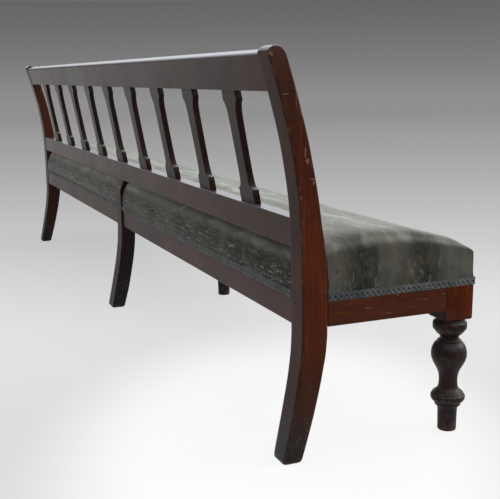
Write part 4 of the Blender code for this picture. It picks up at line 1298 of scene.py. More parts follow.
    def spindle_rows(self) -> Array:
        """A spindle's edge: its foot block, shoulder, shaft and head block.

        Returns:
            Rows of a share of the height and a share of the half width.
        """
        shaft = (
            (0.134, 0.815), (0.140, 0.755), (0.150, 0.708), (0.170, 0.645), (0.210, 0.600), (0.300, 0.570),
            (0.450, 0.575), (0.600, 0.590), (0.720, 0.610), (0.800, 0.660), (0.850, 0.755), (0.886, 0.905),
        )
        shares = np.linspace(shaft[0][0], shaft[-1][0], self.shaft_steps)
        curve = smooth_value(shaft, 1, shares)
        foot = ((0.0, 0.985), (0.004, 1.0), (0.060, 0.998), (0.124, 0.985), (0.1285, 0.972), (0.1310, 0.930))
        head = ((0.8885, 0.965), (0.8905, 0.992), (0.897, 1.0), (0.925, 0.998), (0.996, 0.957), (1.0, 0.950))
        return np.concatenate((foot, columns(shares, curve), head))

    def spindles(self, wood: bpy.types.Material) -> None:
        """Nine flat sawn spindles, evenly spaced, leaning between the lower rail and the crest.

        Args:
            wood: their finish.
        """
        slope, forward = self.crest_axes()
        foot = self.edge(self.lower_high) - BACKWARD * self.rail_depth / 2
        head = self.edge(self.crest_low) + forward * self.rail_depth / 2
        length = float(np.linalg.norm(head - foot))
        axis = unit(head - foot)
        rows = self.spindle_rows()
        halves = columns(rows[:, 1] * self.spindle_width / 2, self.spindle_thickness / 2)
        inner = self.datum.half_length - self.datum.stile_width
        gap = (2 * inner - self.spindle_count * self.spindle_width) / (self.spindle_count + 1)
        for index in range(self.spindle_count):
            x = -inner + gap + self.spindle_width / 2 + index * (gap + self.spindle_width)
            centres = foot + RIGHT * x + axis * (rows[:, :1] * length)
            rings, arris = box_rings(centres, halves, self.spindle_easing, RIGHT, np.cross(RIGHT, axis))
            rings[0] += axis * ((self.lower_high - rings[0][:, 2]) / axis[2])[:, None]
            rings[-1] += axis * ((head - rings[-1]) @ slope / (axis @ slope))[:, None]
            polished(f"back_spindle_{index + 1}", (rings, arris), wood)


@dataclass
class FrontLegs:
    """Three front legs: a square block over a turned leg with a bulb and rings.

    The foot has rows of height over the block's lower edge and how far it is rounded back. The turning has
    rows of a share of the height, a share of the largest radius, and wear.
    """

    datum: Datum
    block_side: float = 0.073
    block_low: float = 0.273
    show_top: float = 0.355
    block_top: float = 0.382
    rebate: float = 0.003
    foot: tuple[tuple[float, float], ...] = ((0.0, 0.0036), (0.0008, 0.0018), (0.0022, 0.0006), (0.0045, 0.0))
    easing: tuple[tuple[float, float], ...] = ((0.0, 0.0048), (0.030, 0.0022))
    top_easing: float = 0.0006
    top_band: float = 0.001
    step_rise: float = 0.0001
    radius: float = 0.0413
    sides: int = 56
    turned_steps: int = 90
    turning: tuple[tuple[float, float, float], ...] = (
        (1.000, 0.770, 0.0), (0.985, 0.775, 0.0), (0.980, 0.800, 1.0), (0.970, 0.890, 0.6),
        (0.960, 0.940, 0.3), (0.935, 0.955, 0.2), (0.912, 0.945, 0.7), (0.902, 0.915, 1.0),
        (0.893, 0.860, 0.5), (0.868, 0.740, 0.0), (0.848, 0.585, 0.0), (0.838, 0.540, 0.0),
        (0.828, 0.520, 0.0), (0.816, 0.528, 0.0), (0.812, 0.560, 0.4), (0.8085, 0.620, 0.9),
        (0.804, 0.655, 1.0), (0.798, 0.662, 0.8), (0.794, 0.660, 0.2), (0.790, 0.700, 0.0),
        (0.778, 0.790, 0.0), (0.755, 0.890, 0.1), (0.724, 0.965, 0.3), (0.690, 0.998, 0.4),
        (0.672, 1.000, 0.4), (0.645, 0.972, 0.3), (0.615, 0.900, 0.1), (0.580, 0.785, 0.0),
        (0.540, 0.640, 0.0), (0.500, 0.552, 0.0), (0.455, 0.520, 0.0), (0.415, 0.528, 0.0),
        (0.390, 0.556, 0.0), (0.368, 0.630, 0.1), (0.350, 0.765, 0.3), (0.341, 0.850, 0.9),
        (0.336, 0.868, 1.0), (0.331, 0.872, 0.6), (0.322, 0.928, 0.5), (0.308, 0.966, 0.8),
        (0.294, 0.968, 0.9), (0.280, 0.942, 0.6), (0.268, 0.890, 0.3), (0.258, 0.800, 0.1),
        (0.252, 0.745, 0.0), (0.247, 0.735, 0.2), (0.238, 0.742, 0.9), (0.228, 0.722, 0.8),
        (0.220, 0.660, 0.2), (0.212, 0.600, 0.0), (0.195, 0.562, 0.0), (0.160, 0.545, 0.0),
        (0.105, 0.538, 0.0), (0.050, 0.532, 0.1), (0.034, 0.531, 0.4), (0.030, 0.522, 0.6),
        (0.026, 0.531, 0.8), (0.012, 0.530, 1.0), (0.004, 0.520, 0.9), (0.000, 0.500, 0.4),
    )

    def build(self) -> None:
        """Makes and dresses the three legs."""
        # The blocks' back faces, under the side rails, get a black painted shade.
        black = (0.0030, 0.0026, 0.0024)
        block_wood = Mahogany("block_mahogany", Grain.UPRIGHT, back_face_shading=black, scuffs=1.3, gloss=0.05).build()
        end_wood = TurnedMahogany("turned_leg_polish").build()
        # The middle leg's turning is a darker copy of the polish: painted shade under the seat.
        shaded_middle_wood = TurnedMahogany("turned_middle_shaded_polish", red=(0.0060, 0.0038, 0.0032)).build()
        middle_y = self.datum.back - self.datum.seat_depth + self.block_side / 2
        end_x = self.datum.half_length - self.block_side / 2
        for word, x, side in (("left", -end_x, -1), ("middle", 0.0, 0), ("right", end_x, 1)):
            block = self.block(f"{word}_front_leg_block", x, middle_y, side)
            turned = self.turned(f"{word}_front_leg_turning", x, middle_y)
            dress(block, block_wood, "polished_mahogany", f"{word}_front_leg")
            dress(turned, end_wood if side else shaded_middle_wood, "turned_mahogany", f"{word}_front_leg")

    def block(self, name: str, x: float, y: float, side: int) -> bpy.types.Object:
        """A square block with eased edges, cut back above the show wood on its outer faces for the cover.

        Args:
            name: the object's name.
            x: its middle along the bench.
            y: its middle across the bench.
            side: the bench's end that it stands at, as -1 or 1, or 0 for the middle leg.

        Returns:
            The object.
        """
        half = self.block_side / 2
        top = self.show_top - self.block_low
        heights, eased = np.array((*self.foot, (top - self.top_band, 0.0), (top, self.top_easing))).T
        step = self.rebate / 2
        upper = columns(x - side * step, y + step, (self.show_top + self.step_rise, self.block_top))
        upper_halves = np.array([(half - step * abs(side), half - step)] * 2)
        centres = np.concatenate((columns(x, y, self.block_low + heights), upper))
        halves = np.concatenate((columns(half - eased, half - eased), upper_halves))
        rounding = np.interp(centres[:, 2] - self.block_low, *zip(*self.easing))
        return lofted(name, *box_rings(centres, halves, rounding))

    def turned(self, name: str, x: float, y: float) -> bpy.types.Object:
        """The profile turned about an upright axis: x + r cos a, y + r sin a, z, with a over one whole turn.

        Args:
            name: the object's name.
            x: the axis's place along the bench.
            y: its place across the bench.

        Returns:
            The object.
        """
        rows = np.array(self.turning)[::-1]
        shares = np.unique(np.concatenate((rows[:, 0], np.linspace(0.0, 1.0, self.turned_steps))))
        radius = smooth_value(rows, 1, shares) * self.radius
        worn = np.interp(shares, rows[:, 0], rows[:, 2])
        angles = np.linspace(0.0, 2 * math.pi, self.sides, endpoint=False)
        circle = columns(np.cos(angles), np.sin(angles), 0.0)
        rings = columns(x, y, shares * self.block_low)[:, None] + radius[:, None, None] * circle
        return lofted(name, rings, np.broadcast_to(worn[:, None], rings.shape[:2]))


@dataclass
class SeatFrame:
    """The rails, blocks, screws, webbing and hessian under the cushion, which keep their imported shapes."""

    side_tenon: float = 0.020
    show_wood: float = 0.056

    def build(self) -> None:
        """Dresses the frame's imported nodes."""
        along = Mahogany("long_rail_mahogany", Grain.ALONG, scuffs=0.8, gloss=0.20).build()
        red = (0.082, 0.0205, 0.0085)
        marks = self.side_scratches()
        across = Mahogany("side_rail_mahogany", Grain.ACROSS, red=red, scratches=marks, scuffs=1.6).build()
        sides = ("left", "right")
        refinish(along, *(f"{end}_seat_rail_{side}" for end in ("front", "rear") for side in sides))
        refinish(across, "side_seat_rail_left", "side_seat_rail_right")
        refinish(Beech("cross_rail_beech", Grain.ACROSS).build(), "middle_cross_rail")
        blocks = [f"corner_block_{end}_{side}" for end in ("front", "rear") for side in sides]
        refinish(Beech("block_beech", Grain.ALONG).build(), *blocks)
        refinish(ScrewSteel().build(), *(f"corner_screw_{index}" for index in range(1, 9)))
        strap = Jute("webbing_jute", 0.0030, (0.36, 0.28, 0.17), (0.13, 0.095, 0.055)).build()
        refinish(strap, *(f"webbing_long_{index}" for index in range(1, 4)))
        refinish(strap, *(f"webbing_cross_{index}" for index in range(1, 13)))
        refinish(Jute("hessian_jute", 0.0021, (0.30, 0.22, 0.13), (0.10, 0.07, 0.04)).build(), "hessian_base")

    def side_scratches(self) -> tuple[Scratch, ...]:
        """Hairlines and knocks on the left side rail.

        Returns:
            The scratches, from rows of shares of the rail's length and height, and half sizes along Y and Z.
        """
        low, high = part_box("side_seat_rail_left")
        rear = high.y - self.side_tenon
        run = rear - low.y - self.side_tenon
        rows = (
            (0.57, 0.93, 0.0040, 0.0025),
            (0.80, 0.62, 0.0150, 0.0010),
            (0.97, 0.75, 0.0090, 0.0010),
            (0.50, 0.25, 0.0100, 0.0010),
            (0.69, 0.38, 0.0170, 0.0009),
            (0.33, 0.55, 0.0120, 0.0009),
            (0.22, 0.15, 0.0070, 0.0010),
        )
        return tuple(
            Scratch((low.x, rear - run * share, low.z + self.show_wood * up), (MARK_DEPTH, reach_y, reach_z))
            for share, up, reach_y, reach_z in rows
        )


class Patches:
    """Grids of points that are gathered for one mesh, with their places on the cloth."""

    def __init__(self) -> None:
        """Starts with none."""
        self.points: list[Array] = []
        self.faces: list[Array] = []
        self.cloth: list[Array] = []
        self.held: list[Array] = []
        self.count = 0

    def add(self, place: Array, cloth: Array, held: ArrayLike) -> None:
        """Adds one grid.

        Args:
            place: its points, by row and column.
            cloth: their places on the cloth, in metres.
            held: 1 for points that stay put, and 0 for the others.
        """
        rows, wide = place.shape[:2]
        row, column = np.meshgrid(np.arange(rows - 1), np.arange(wide - 1), indexing="ij")
        corner = self.count + row * wide + column
        self.faces.append(columns(corner, corner + wide, corner + wide + 1, corner + 1).reshape(-1, 4))
        self.points.append(place.reshape(-1, 3))
        self.cloth.append(cloth.reshape(-1, 2))
        self.held.append(np.broadcast_to(held, (rows, wide)).reshape(-1))
        self.count += rows * wide

    def join(self, name: str) -> bpy.types.Object:
        """Makes the mesh. Its vertex groups "held" and "free" say which points stay put.

        Args:
            name: the object's name.

        Returns:
            The object, whose grids are welded along their edges.
        """
        marks = {"held": np.concatenate(self.held)}
        points, faces = np.concatenate(self.points), np.concatenate(self.faces)
        made = piece(name, points, faces, marks, np.concatenate(self.cloth), PAD_WELD, None)
        held = np.zeros(len(made.data.vertices), np.float32)
        made.data.attributes["held"].data.foreach_get("value", held)
        for group, members in (("held", held > 0.5), ("free", held <= 0.5)):
            made.vertex_groups.new(name=group).add(np.flatnonzero(members).tolist(), 1.0, "REPLACE")
        return made


@dataclass
class Cushion:
    """The stuffed seat under its velvet: crowned, rolled at the ends and drawn in round the posts.

    The section has rows of a share of the depth from the back and a share of the crown's rise. A tuck gives
    the cloth that it takes up, the place where it starts, and how far it runs.
    """

    datum: Datum
    template: BackTemplate = field(default_factory=BackTemplate)
    foot: float = 0.3556
    lip: float = 0.0024
    base: float = 0.38705
    skirt_top: float = 0.3733
    skirt_share: float = 0.25
    crown_rise: float = 0.133
    show_top: float = 0.355
    reach_x: float = 1.4998
    front_inset: float = 0.0002
    back_inset: float = 0.0022
    bulge: float = 0.0015
    corner_reach: float = 0.030
    end_roll: float = 0.070
    end_drop: float = 0.026
    end_steps: tuple[float, ...] = (0.0, 0.004, 0.008, 0.013, 0.019, 0.026, 0.034, 0.043, 0.053)
    end_run: float = 0.064
    long_steps: int = 204
    hair_inset: float = 0.009
    hair_drop: float = 0.005
    hair_lump: float = 0.0015
    hair_least: float = 0.002
    hair_rise: float = 0.0004
    hair_steps: tuple[int, int] = (160, 40)
    fullness: float = 0.0075
    fullness_reach: float = 0.45
    wave: float = 0.0022
    wave_reach: float = 0.25
    frames: int = 20
    swell_cap: float = 0.0045
    sink_cap: float = 0.0010
    rail_reach: float = 0.041
    rail_low: float = 0.4672
    notch_gap: float = 0.0004
    notch_span: tuple[float, float] = (0.30, 0.56)
    notch_steps: int = 30
    notch_run: float = 0.1
    notch_easing: float = 0.0004
    cloth_middle: float = 0.22
    rear_tuck: tuple[float, float, float] = (0.040, -0.090, 0.085)
    front_tuck: tuple[float, float, float] = (0.055, -0.365, 0.070)
    section: tuple[tuple[float, float], ...] = (
        (0.0, 0.376), (0.018, 0.600), (0.050, 0.752), (0.087, 0.832), (0.142, 0.890),
        (0.233, 0.945), (0.330, 0.980), (0.428, 0.990), (0.577, 0.964), (0.691, 0.906),
        (0.805, 0.820), (0.897, 0.730), (0.966, 0.635), (1.0, 0.535),
    )

    @property
    def rims(self) -> tuple[float, float]:
        """The places of the top's back and front edges, from the datum."""
        return -self.back_inset, self.front_inset - self.datum.seat_depth

    def build(self) -> None:
        """Makes the cushion and the hair inside it, notched round the posts.

        The cover settles and swells by cloth simulation before it is cut.
        """
        pad = self.closed_pad()
        modified(pad, "SMOOTH", factor=0.5, iterations=5, vertex_group="free")
        self.settle(pad)
        modified(pad, "SUBSURF", levels=1, render_levels=1)
        self.notch(pad, self.notch_gap)
        dress(pad, StripedVelvet().build(), "figured_velvet", "seat_cover")
        hair = self.hair()
        self.notch(hair, self.hair_inset)
        dress(hair, Horsehair().build(), "horsehair", "seat_stuffing")

    def top(self, x: Array, y: Array) -> Array:
        """The height of the top: the section from back to front, fuller near the ends and rolled off at them.

        Args:
            x: places along the bench.
            y: places across it, from the datum.

        Returns:
            The heights.
        """
        back, front = self.rims
        share = np.clip((back - y) / (back - front), 0.0, 1.0)
        raised = smooth_value(self.section, 1, share)
        height = self.show_top + raised * self.crown_rise
        from_end = self.reach_x - np.abs(x)
        height += self.fullness * (1.0 - np.minimum(from_end / self.fullness_reach, 1.0)) ** 2 * share**2
        inside = np.clip(from_end / self.end_roll, 0.0, 1.0)
        drop = self.end_drop * (1.0 - np.sqrt(1.0 - (1.0 - inside) ** 2))
        edge = self.section[-1][1]
        height -= drop * np.maximum(raised - edge, 0.0) / (1.0 - edge)
        return height + self.hollows(x, share)

    def hollows(self, x: Array, share: Array) -> Array:
        """Gentle unevenness of old stuffing: long waves along the seat, strongest where people sit.

        Args:
            x: places along the bench.
            share: shares of the depth from the back.

        Returns:
            How much higher the top is there.
        """
        slow = np.sin(x * 5.3 + 0.7) * 0.5
        waves = slow + np.sin(x * 8.9 + share * 3.0 + 2.1) * 0.35 + np.sin(x * 15.7 - share * 5.0) * 0.15
        ends = np.clip((self.reach_x - np.abs(x)) / self.wave_reach, 0.0, 1.0)
        return self.wave * waves * np.sin(math.pi * share) * ends

    def across_cloth(self, y: Array) -> Array:
        """How far across the cloth a place on the top is, in metres of cloth from the middle of the seat.

        It adds up the length of the section from the middle outwards. The cloth tucked away at the back and
        the front is taken off, so that a dark band falls on the rear face.

        Args:
            y: places across the bench, from the datum.

        Returns:
            The places on the cloth.
        """
        steps = np.linspace(-self.datum.seat_depth, 0.0, 600)
        heights = self.top(np.zeros_like(steps), steps)
        lengths = np.concatenate(([0.0], np.cumsum(np.hypot(np.diff(steps), np.diff(heights)))))
        middle = np.interp(-self.cloth_middle, steps, lengths)
        rear, rear_start, rear_run = self.rear_tuck
        front, front_start, front_run = self.front_tuck
        slack = rear * smoothstep((y - rear_start) / rear_run)
        slack -= front * smoothstep((front_start - y) / front_run)
        return np.interp(y, steps, lengths) - middle - self.cloth_middle - slack

    def closed_pad(self) -> bpy.types.Object:
        """A closed form: a top grid, four walls, a lip over the rails, and a flat base.

        Returns:
            The pad, with its own UV in metres of cloth.
        """
        end = self.reach_x - np.array(self.end_steps)
        run = self.reach_x - self.end_run
        xs = np.concatenate((-end, np.linspace(-run, run, self.long_steps), end[::-1]))
        rear_shares = (0.0, 0.008, 0.018, 0.032, 0.050, 0.068)
        middle_shares = np.linspace(0.09, 0.90, 25)
        front_shares = (0.925, 0.945, 0.963, 0.978, 0.990, 1.0)
        back, front = self.rims
        ys = back + np.concatenate((rear_shares, middle_shares, front_shares)) * (front - back)
        middle, half = (back + front) / 2, (back - front) / 2
        inner_x = xs * (self.reach_x - self.lip) / self.reach_x
        inner_y = middle + (ys - middle) * (half - self.lip) / half
        outer = columns(*np.meshgrid(xs, ys, indexing="ij"))
        inner = columns(*np.meshgrid(inner_x, inner_y, indexing="ij"))
        cloth = columns(outer[..., 0], self.across_cloth(ys))

        patches = Patches()
        patches.add(columns(*np.moveaxis(outer, -1, 0), self.top(outer[..., 0], outer[..., 1])), cloth, 0.0)
        left, right, rear, fore = np.s_[0], np.s_[-1], np.s_[:, 0], np.s_[:, -1]
        from_side = np.minimum(back - ys, ys - front)
        from_end = self.reach_x - np.abs(xs)
        for edge, outward, from_corner in (
            (left, -RIGHT, from_side),
            (right, RIGHT, from_side),
            (rear, BACKWARD, from_end),
            (fore, -BACKWARD, from_end),
        ):
            self.wall(patches, outer[edge], cloth[edge], outward[:2], from_corner)
        for edge in (rear, fore, left, right):
            steps = ((outer, self.foot), (inner, self.foot), (inner, self.base))
            lip = np.stack([columns(*rim[edge].T, height) for rim, height in steps])
            patches.add(lip, lip[..., :2], 1.0)
        patches.add(columns(*np.moveaxis(inner, -1, 0), self.base), inner, 1.0)
        pad = patches.join("seat_cover_padded")
        pad.data.transform(Matrix.Translation((0.0, self.datum.back, 0.0)))
        return pad

    def wall(self, patches: Patches, rim: Array, cloth: Array, outward: Array, from_corner: Array) -> None:
        """Adds a wall from the foot up to the top's rim, straight behind the gimp and full above it.

        Its fullness dies away at the corners, so that two walls meet in one edge there.

        Args:
            patches: what it is added to.
            rim: the rim's rows of x and y.
            cloth: the rim's places on the cloth.
            outward: the way that the wall faces, as x and y.
            from_corner: how far each place of the rim is from the nearest corner.
        """
        share = np.concatenate((np.linspace(0.0, self.skirt_share, 3), np.linspace(0.33, 1.0, 8)))
        top = self.top(*rim.T)[:, None]
        low = self.foot + (self.skirt_top - self.foot) * share / self.skirt_share
        risen = np.clip((share - self.skirt_share) / (1.0 - self.skirt_share), 0.0, 1.0)
        behind_gimp = share <= self.skirt_share + 0.01
        height = np.where(behind_gimp, low, self.skirt_top + (top - self.skirt_top) * risen)
        full = self.bulge * np.sin(math.pi * risen) * smoothstep(from_corner / self.corner_reach)[:, None]
        place = rim[:, None] + full[..., None] * outward
        laid = cloth[:, None] + (top - height)[..., None] * outward
        patches.add(np.concatenate((place, height[..., None]), axis=-1), laid, behind_gimp.astype(float))

    def hair(self) -> bpy.types.Object:
        """The stuffing: the lowest of the cover's top within one inset of each place, less lumps, along X.

        Returns:
            The object.
        """
        inset = self.hair_inset
        back, front = self.rims
        long_steps, deep_steps = self.hair_steps
        ys = np.linspace(back - inset, front + inset, deep_steps)
        xs = np.linspace(inset - self.reach_x, self.reach_x - inset, long_steps)
        x, y = np.meshgrid(xs, ys, indexing="ij")
        shifts = (-inset, 0.0, inset)
        near = [self.top(x + dx, y + dy) for dx in shifts for dy in shifts]
        lumps = self.hair_lump * np.sin(x * 37.0 + y * 21.0) * np.sin(y * 53.0 - x * 11.0)
        top = np.maximum(np.min(near, axis=0) - self.hair_drop + lumps, self.base + self.hair_least)
        under = columns(x[:, [-1, 0]], y[:, [-1, 0]], self.base + self.hair_rise)
        rings = np.concatenate((columns(x, y, top), under), axis=1)
        return lofted("seat_stuffing_hair", rings + BACKWARD * self.datum.back)

    def settle(self, pad: bpy.types.Object) -> None:
        """Cloth simulation: the cover swells under pressure from inside.

        Each point keeps the part of its move that runs along its normal, between the sink and swell caps, and
        the back of the cover stays under the lower back rail.

        Args:
            pad: the cushion.
        """
        start = points_of(pad)
        normals = np.zeros(start.size, np.float32)
        pad.data.vertex_normals.foreach_get("vector", normals)
        normals = normals.reshape(-1, 3).astype(float)
        cloth = pad.modifiers.new("settling", "CLOTH")
        for name, value in {
            "quality": 6,
            "mass": 0.4,
            "tension_stiffness": 60.0,
            "compression_stiffness": 25.0,
            "shear_stiffness": 8.0,
            "bending_stiffness": 1.2,
            "use_pressure": True,
            "uniform_pressure_force": 1.6,
            "vertex_group_mass": "held",
        }.items():
            setattr(cloth.settings, name, value)
        cloth.settings.effector_weights.gravity = 0.0
        cloth.collision_settings.use_collision = False
        cloth.point_cache.frame_start = 1
        cloth.point_cache.frame_end = self.frames
        scene = bpy.context.scene
        for number in range(1, self.frames + 1):
            scene.frame_set(number)
        moved = points_of(pad.evaluated_get(bpy.context.evaluated_depsgraph_get()))
        pad.modifiers.remove(cloth)
        scene.frame_set(1)
        outward = ((moved - start) * normals).sum(axis=1)
        LOG.info("cushion moves %.1f to %.1f mm", float(outward.min()) * 1000, float(outward.max()) * 1000)
        settled = start + np.clip(outward, -self.sink_cap, self.swell_cap)[:, None] * normals
        under_rail = settled[:, 1] > self.datum.back - self.rail_reach
        settled[under_rail, 2] = np.minimum(settled[under_rail, 2], self.rail_low)
        pad.data.vertices.foreach_set("co", settled.astype(np.float32).ravel())
        pad.data.update()

    def notch(self, pad: bpy.types.Object, clear: float) -> None:
        """Cuts a pad clear of the stiles and the middle rear leg.

        Args:
            pad: the object that is cut.
            clear: the gap that is left.
        """
        heights = np.linspace(*self.notch_span, self.notch_steps)
        datum = self.datum
        stile = self.template.front(heights)
        middle = self.template.middle_front(heights) + datum.middle_proud
        for name, x, wide, front in (
            ("left_post", -datum.half_length, datum.stile_width, stile),
            ("middle_post", 0.0, datum.middle_width / 2, middle),
            ("right_post", datum.half_length, datum.stile_width, stile),
        ):
            near, far = front - clear + datum.back, datum.back + self.notch_run
            halves = columns(wide + clear, (far - near) / 2)
            rings, _ = box_rings(columns(x, (near + far) / 2, heights), halves, self.notch_easing)
            cutter = lofted(name, rings)
            modified(pad, "BOOLEAN", object=cutter, operation="DIFFERENCE", solver="EXACT")
            bpy.data.objects.remove(cutter, do_unlink=True)
        pad.data.shade_smooth()
        pad.data.set_sharp_from_angle(angle=PAD_CREASE)


@dataclass(frozen=True)
class Strip:
    """Where one length of gimp lies: its lower corner at the start, its two directions, and its length."""

    origin: Array
    along: Array
    outward: Array
    length: float


@dataclass
class Gimp:
    """Scroll gimp along the cover's lower edge: a backing tape, two crossing cords and two edge cords."""

    height: float = 0.0175
    pitch: float = 0.0260
    tape: float = 0.0010
    tape_easing: float = 0.0004
    cord_wide: float = 0.0027
    cord_deep: float = 0.0013
    cord_sides: int = 6
    edge_wide: float = 0.0011
    scallop: float = 0.00035
    wobble: float = 0.0008
    cord_steps: int = 14
    edge_steps: int = 2

    def build(self) -> None:
        """Makes and dresses the gimp on all four sides."""
        cords = BraidThread("gimp_cord", (0.112, 0.114, 0.116), (0.030, 0.038, 0.037)).build()
        backing = BraidThread("gimp_backing", (0.046, 0.051, 0.048), (0.014, 0.018, 0.017), 900.0).build()
        for node, along, outward in (
            ("front_gimp", RIGHT, -BACKWARD),
            ("side_gimp_left", BACKWARD, -RIGHT),
            ("side_gimp_right", BACKWARD, RIGHT),
            ("rear_gimp_left", RIGHT, BACKWARD),
            ("rear_gimp_right", RIGHT, BACKWARD),
        ):
            low, high = (np.array(corner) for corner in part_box(node))
            origin = np.where(outward < 0, high, low)
            origin = np.where(along > 0, low, origin)
            origin[2] = low[2]
            length = float(abs((high - low) @ along))
            strip = Strip(origin, along, outward, length)
            dress(self.backing(f"{node}_backing", strip), backing, "gimp_braid", node)
            dress(self.cords(f"{node}_cords", strip), cords, "gimp_braid", node)

    def backing(self, name: str, strip: Strip) -> bpy.types.Object:
        """The tape: a rounded strip.

        Args:
            name: the object's name.
            strip: where it lies.

        Returns:
            The object.
        """
        stations = np.linspace(0.0, strip.length, 5)[:, None]
        middle = strip.origin + UP * self.height / 2 + strip.outward * self.tape / 2
        halves = np.full((len(stations), 2), (self.height / 2, self.tape / 2))
        rings, _ = box_rings(middle + stations * strip.along, halves, self.tape_easing, UP, strip.outward)
        return lofted(name, rings)

    def cords(self, name: str, strip: Strip) -> bpy.types.Object:
        """Four cords as one object.

        Two run as up = middle + a sin(2 pi s / pitch), half a turn apart. They rise and sink by cos of the
        same angle, so that each goes over and then under the other. One straight cord runs along each edge.

        Args:
            name: the object's name.
            strip: where they lie.

        Returns:
            The object.
        """
        middle = self.height / 2
        reach = middle - self.edge_wide * 2 - self.cord_wide * 0.4
        pitches = strip.length / self.pitch
        s = np.linspace(self.cord_wide, strip.length - self.cord_wide, max(int(pitches * self.cord_steps), 8))
        cords = []
        for turn in (0.0, math.pi):
            angle = 2 * math.pi * s / self.pitch + turn
            loose = self.wobble * (np.sin(s * 171.0 + turn) + np.sin(s * 97.0 + 2.0 * turn + 1.0)) / 2
            up = middle + reach * np.sin(angle) + loose
            out = self.tape + self.cord_deep * 0.75 * (1.0 + np.cos(angle))
            cords.append(self.cord(strip, columns(s, up, out), self.cord_wide, self.cord_deep))
        s = np.linspace(0.0, strip.length, max(int(pitches * self.edge_steps), 4))
        scallop = self.scallop * np.sin(math.pi * s / self.pitch * 2)
        for level in (self.edge_wide, self.height - self.edge_wide):
            path = columns(s, level + scallop, self.tape)
            cords.append(self.cord(strip, path, self.edge_wide, self.edge_wide))
        faces = []
        start = 0
        for rings in cords:
            faces.extend(skin(len(rings), self.cord_sides, start))
            start += len(rings) * self.cord_sides
        return piece(name, np.concatenate(cords), faces)

    def cord(self, strip: Strip, path: Array, wide: float, deep: float) -> Array:
        """One cord: an oval carried square to its path.

        Args:
            strip: where it lies.
            path: its rows of place along the strip, height and place outward.
            wide: the oval's half size beside the path.
            deep: its half size outward.

        Returns:
            The points, by ring and place round it.
        """
        path = strip.origin + path @ np.stack((strip.along, UP, strip.outward))
        beside = unit(np.cross(strip.outward, unit(np.gradient(path, axis=0))))
        angles = np.linspace(0.0, 2 * math.pi, self.cord_sides, endpoint=False)[:, None]
        return path[:, None] + wide * np.cos(angles) * beside[:, None] + deep * np.sin(angles) * strip.outward


# Setting


@dataclass(frozen=True)
class Viewpoint:
    """The camera, fitted to the bench's long edges in the photograph of 500 x 499."""

    place: tuple[float, float, float] = (-3.1357, 0.98335, 0.8302)
    heading: float = 1.1817
    dip: float = 0.1883
    roll: float = -0.0126
    focal: float = 893.17
    centre: tuple[float, float] = (243.95, 245.08)
    frame_wide: float = 500.0
    frame_high: float = 499.0

    @property
    def ahead(self) -> Vector:
        """The direction that the camera looks in."""
        return Vector(
            (
                math.sin(self.heading) * math.cos(self.dip),
                -math.cos(self.heading) * math.cos(self.dip),
                -math.sin(self.dip),
            )
        )

    @property
    def level_ahead(self) -> tuple[float, float]:
        """The same direction along the floor, as x and y."""
        return math.sin(self.heading), -math.cos(self.heading)

    def build(self) -> None:
        """Sets the camera up."""
        sideways = self.ahead.cross(Vector((0, 0, 1))).normalized()
        upward = sideways.cross(self.ahead)
        cosine, sine = math.cos(self.roll), math.sin(self.roll)
        x_axis = cosine * sideways + sine * upward
        y_axis = cosine * upward - sine * sideways
        turn = Matrix((x_axis, y_axis, -self.ahead)).transposed().to_4x4()
        lens = bpy.data.cameras.new("viewpoint")
        lens.sensor_width = 36.0
        lens.sensor_fit = "HORIZONTAL"
        lens.lens = self.focal / self.frame_wide * lens.sensor_width
        lens.shift_x = (self.frame_wide / 2 - self.centre[0]) / self.frame_wide
        lens.shift_y = (self.centre[1] - self.frame_high / 2) / self.frame_wide
        lens.clip_start = 0.05
        camera = bpy.data.objects.new("viewpoint", lens)
        camera.matrix_world = Matrix.Translation(self.place) @ turn
        bpy.context.scene.collection.objects.link(camera)
        bpy.context.scene.camera = camera


@dataclass(frozen=True)
class Lamp:
    """A soft rectangular lamp: its place, the point that it is aimed at, its size and its power."""

    name: str
    place: tuple[float, float, float]
    target: tuple[float, float, float]
    size: tuple[float, float]
    power: float

    def build(self) -> None:
        """Hangs the lamp."""
        data = bpy.data.lights.new(self.name, "AREA")
        data.shape = "RECTANGLE"
        data.size, data.size_y = self.size
        data.energy = self.power
        made = bpy.data.objects.new(self.name, data)
        made.location = self.place
        made.rotation_euler = (Vector(self.target) - Vector(self.place)).to_track_quat("-Z", "Y").to_euler()
        bpy.context.scene.collection.objects.link(made)


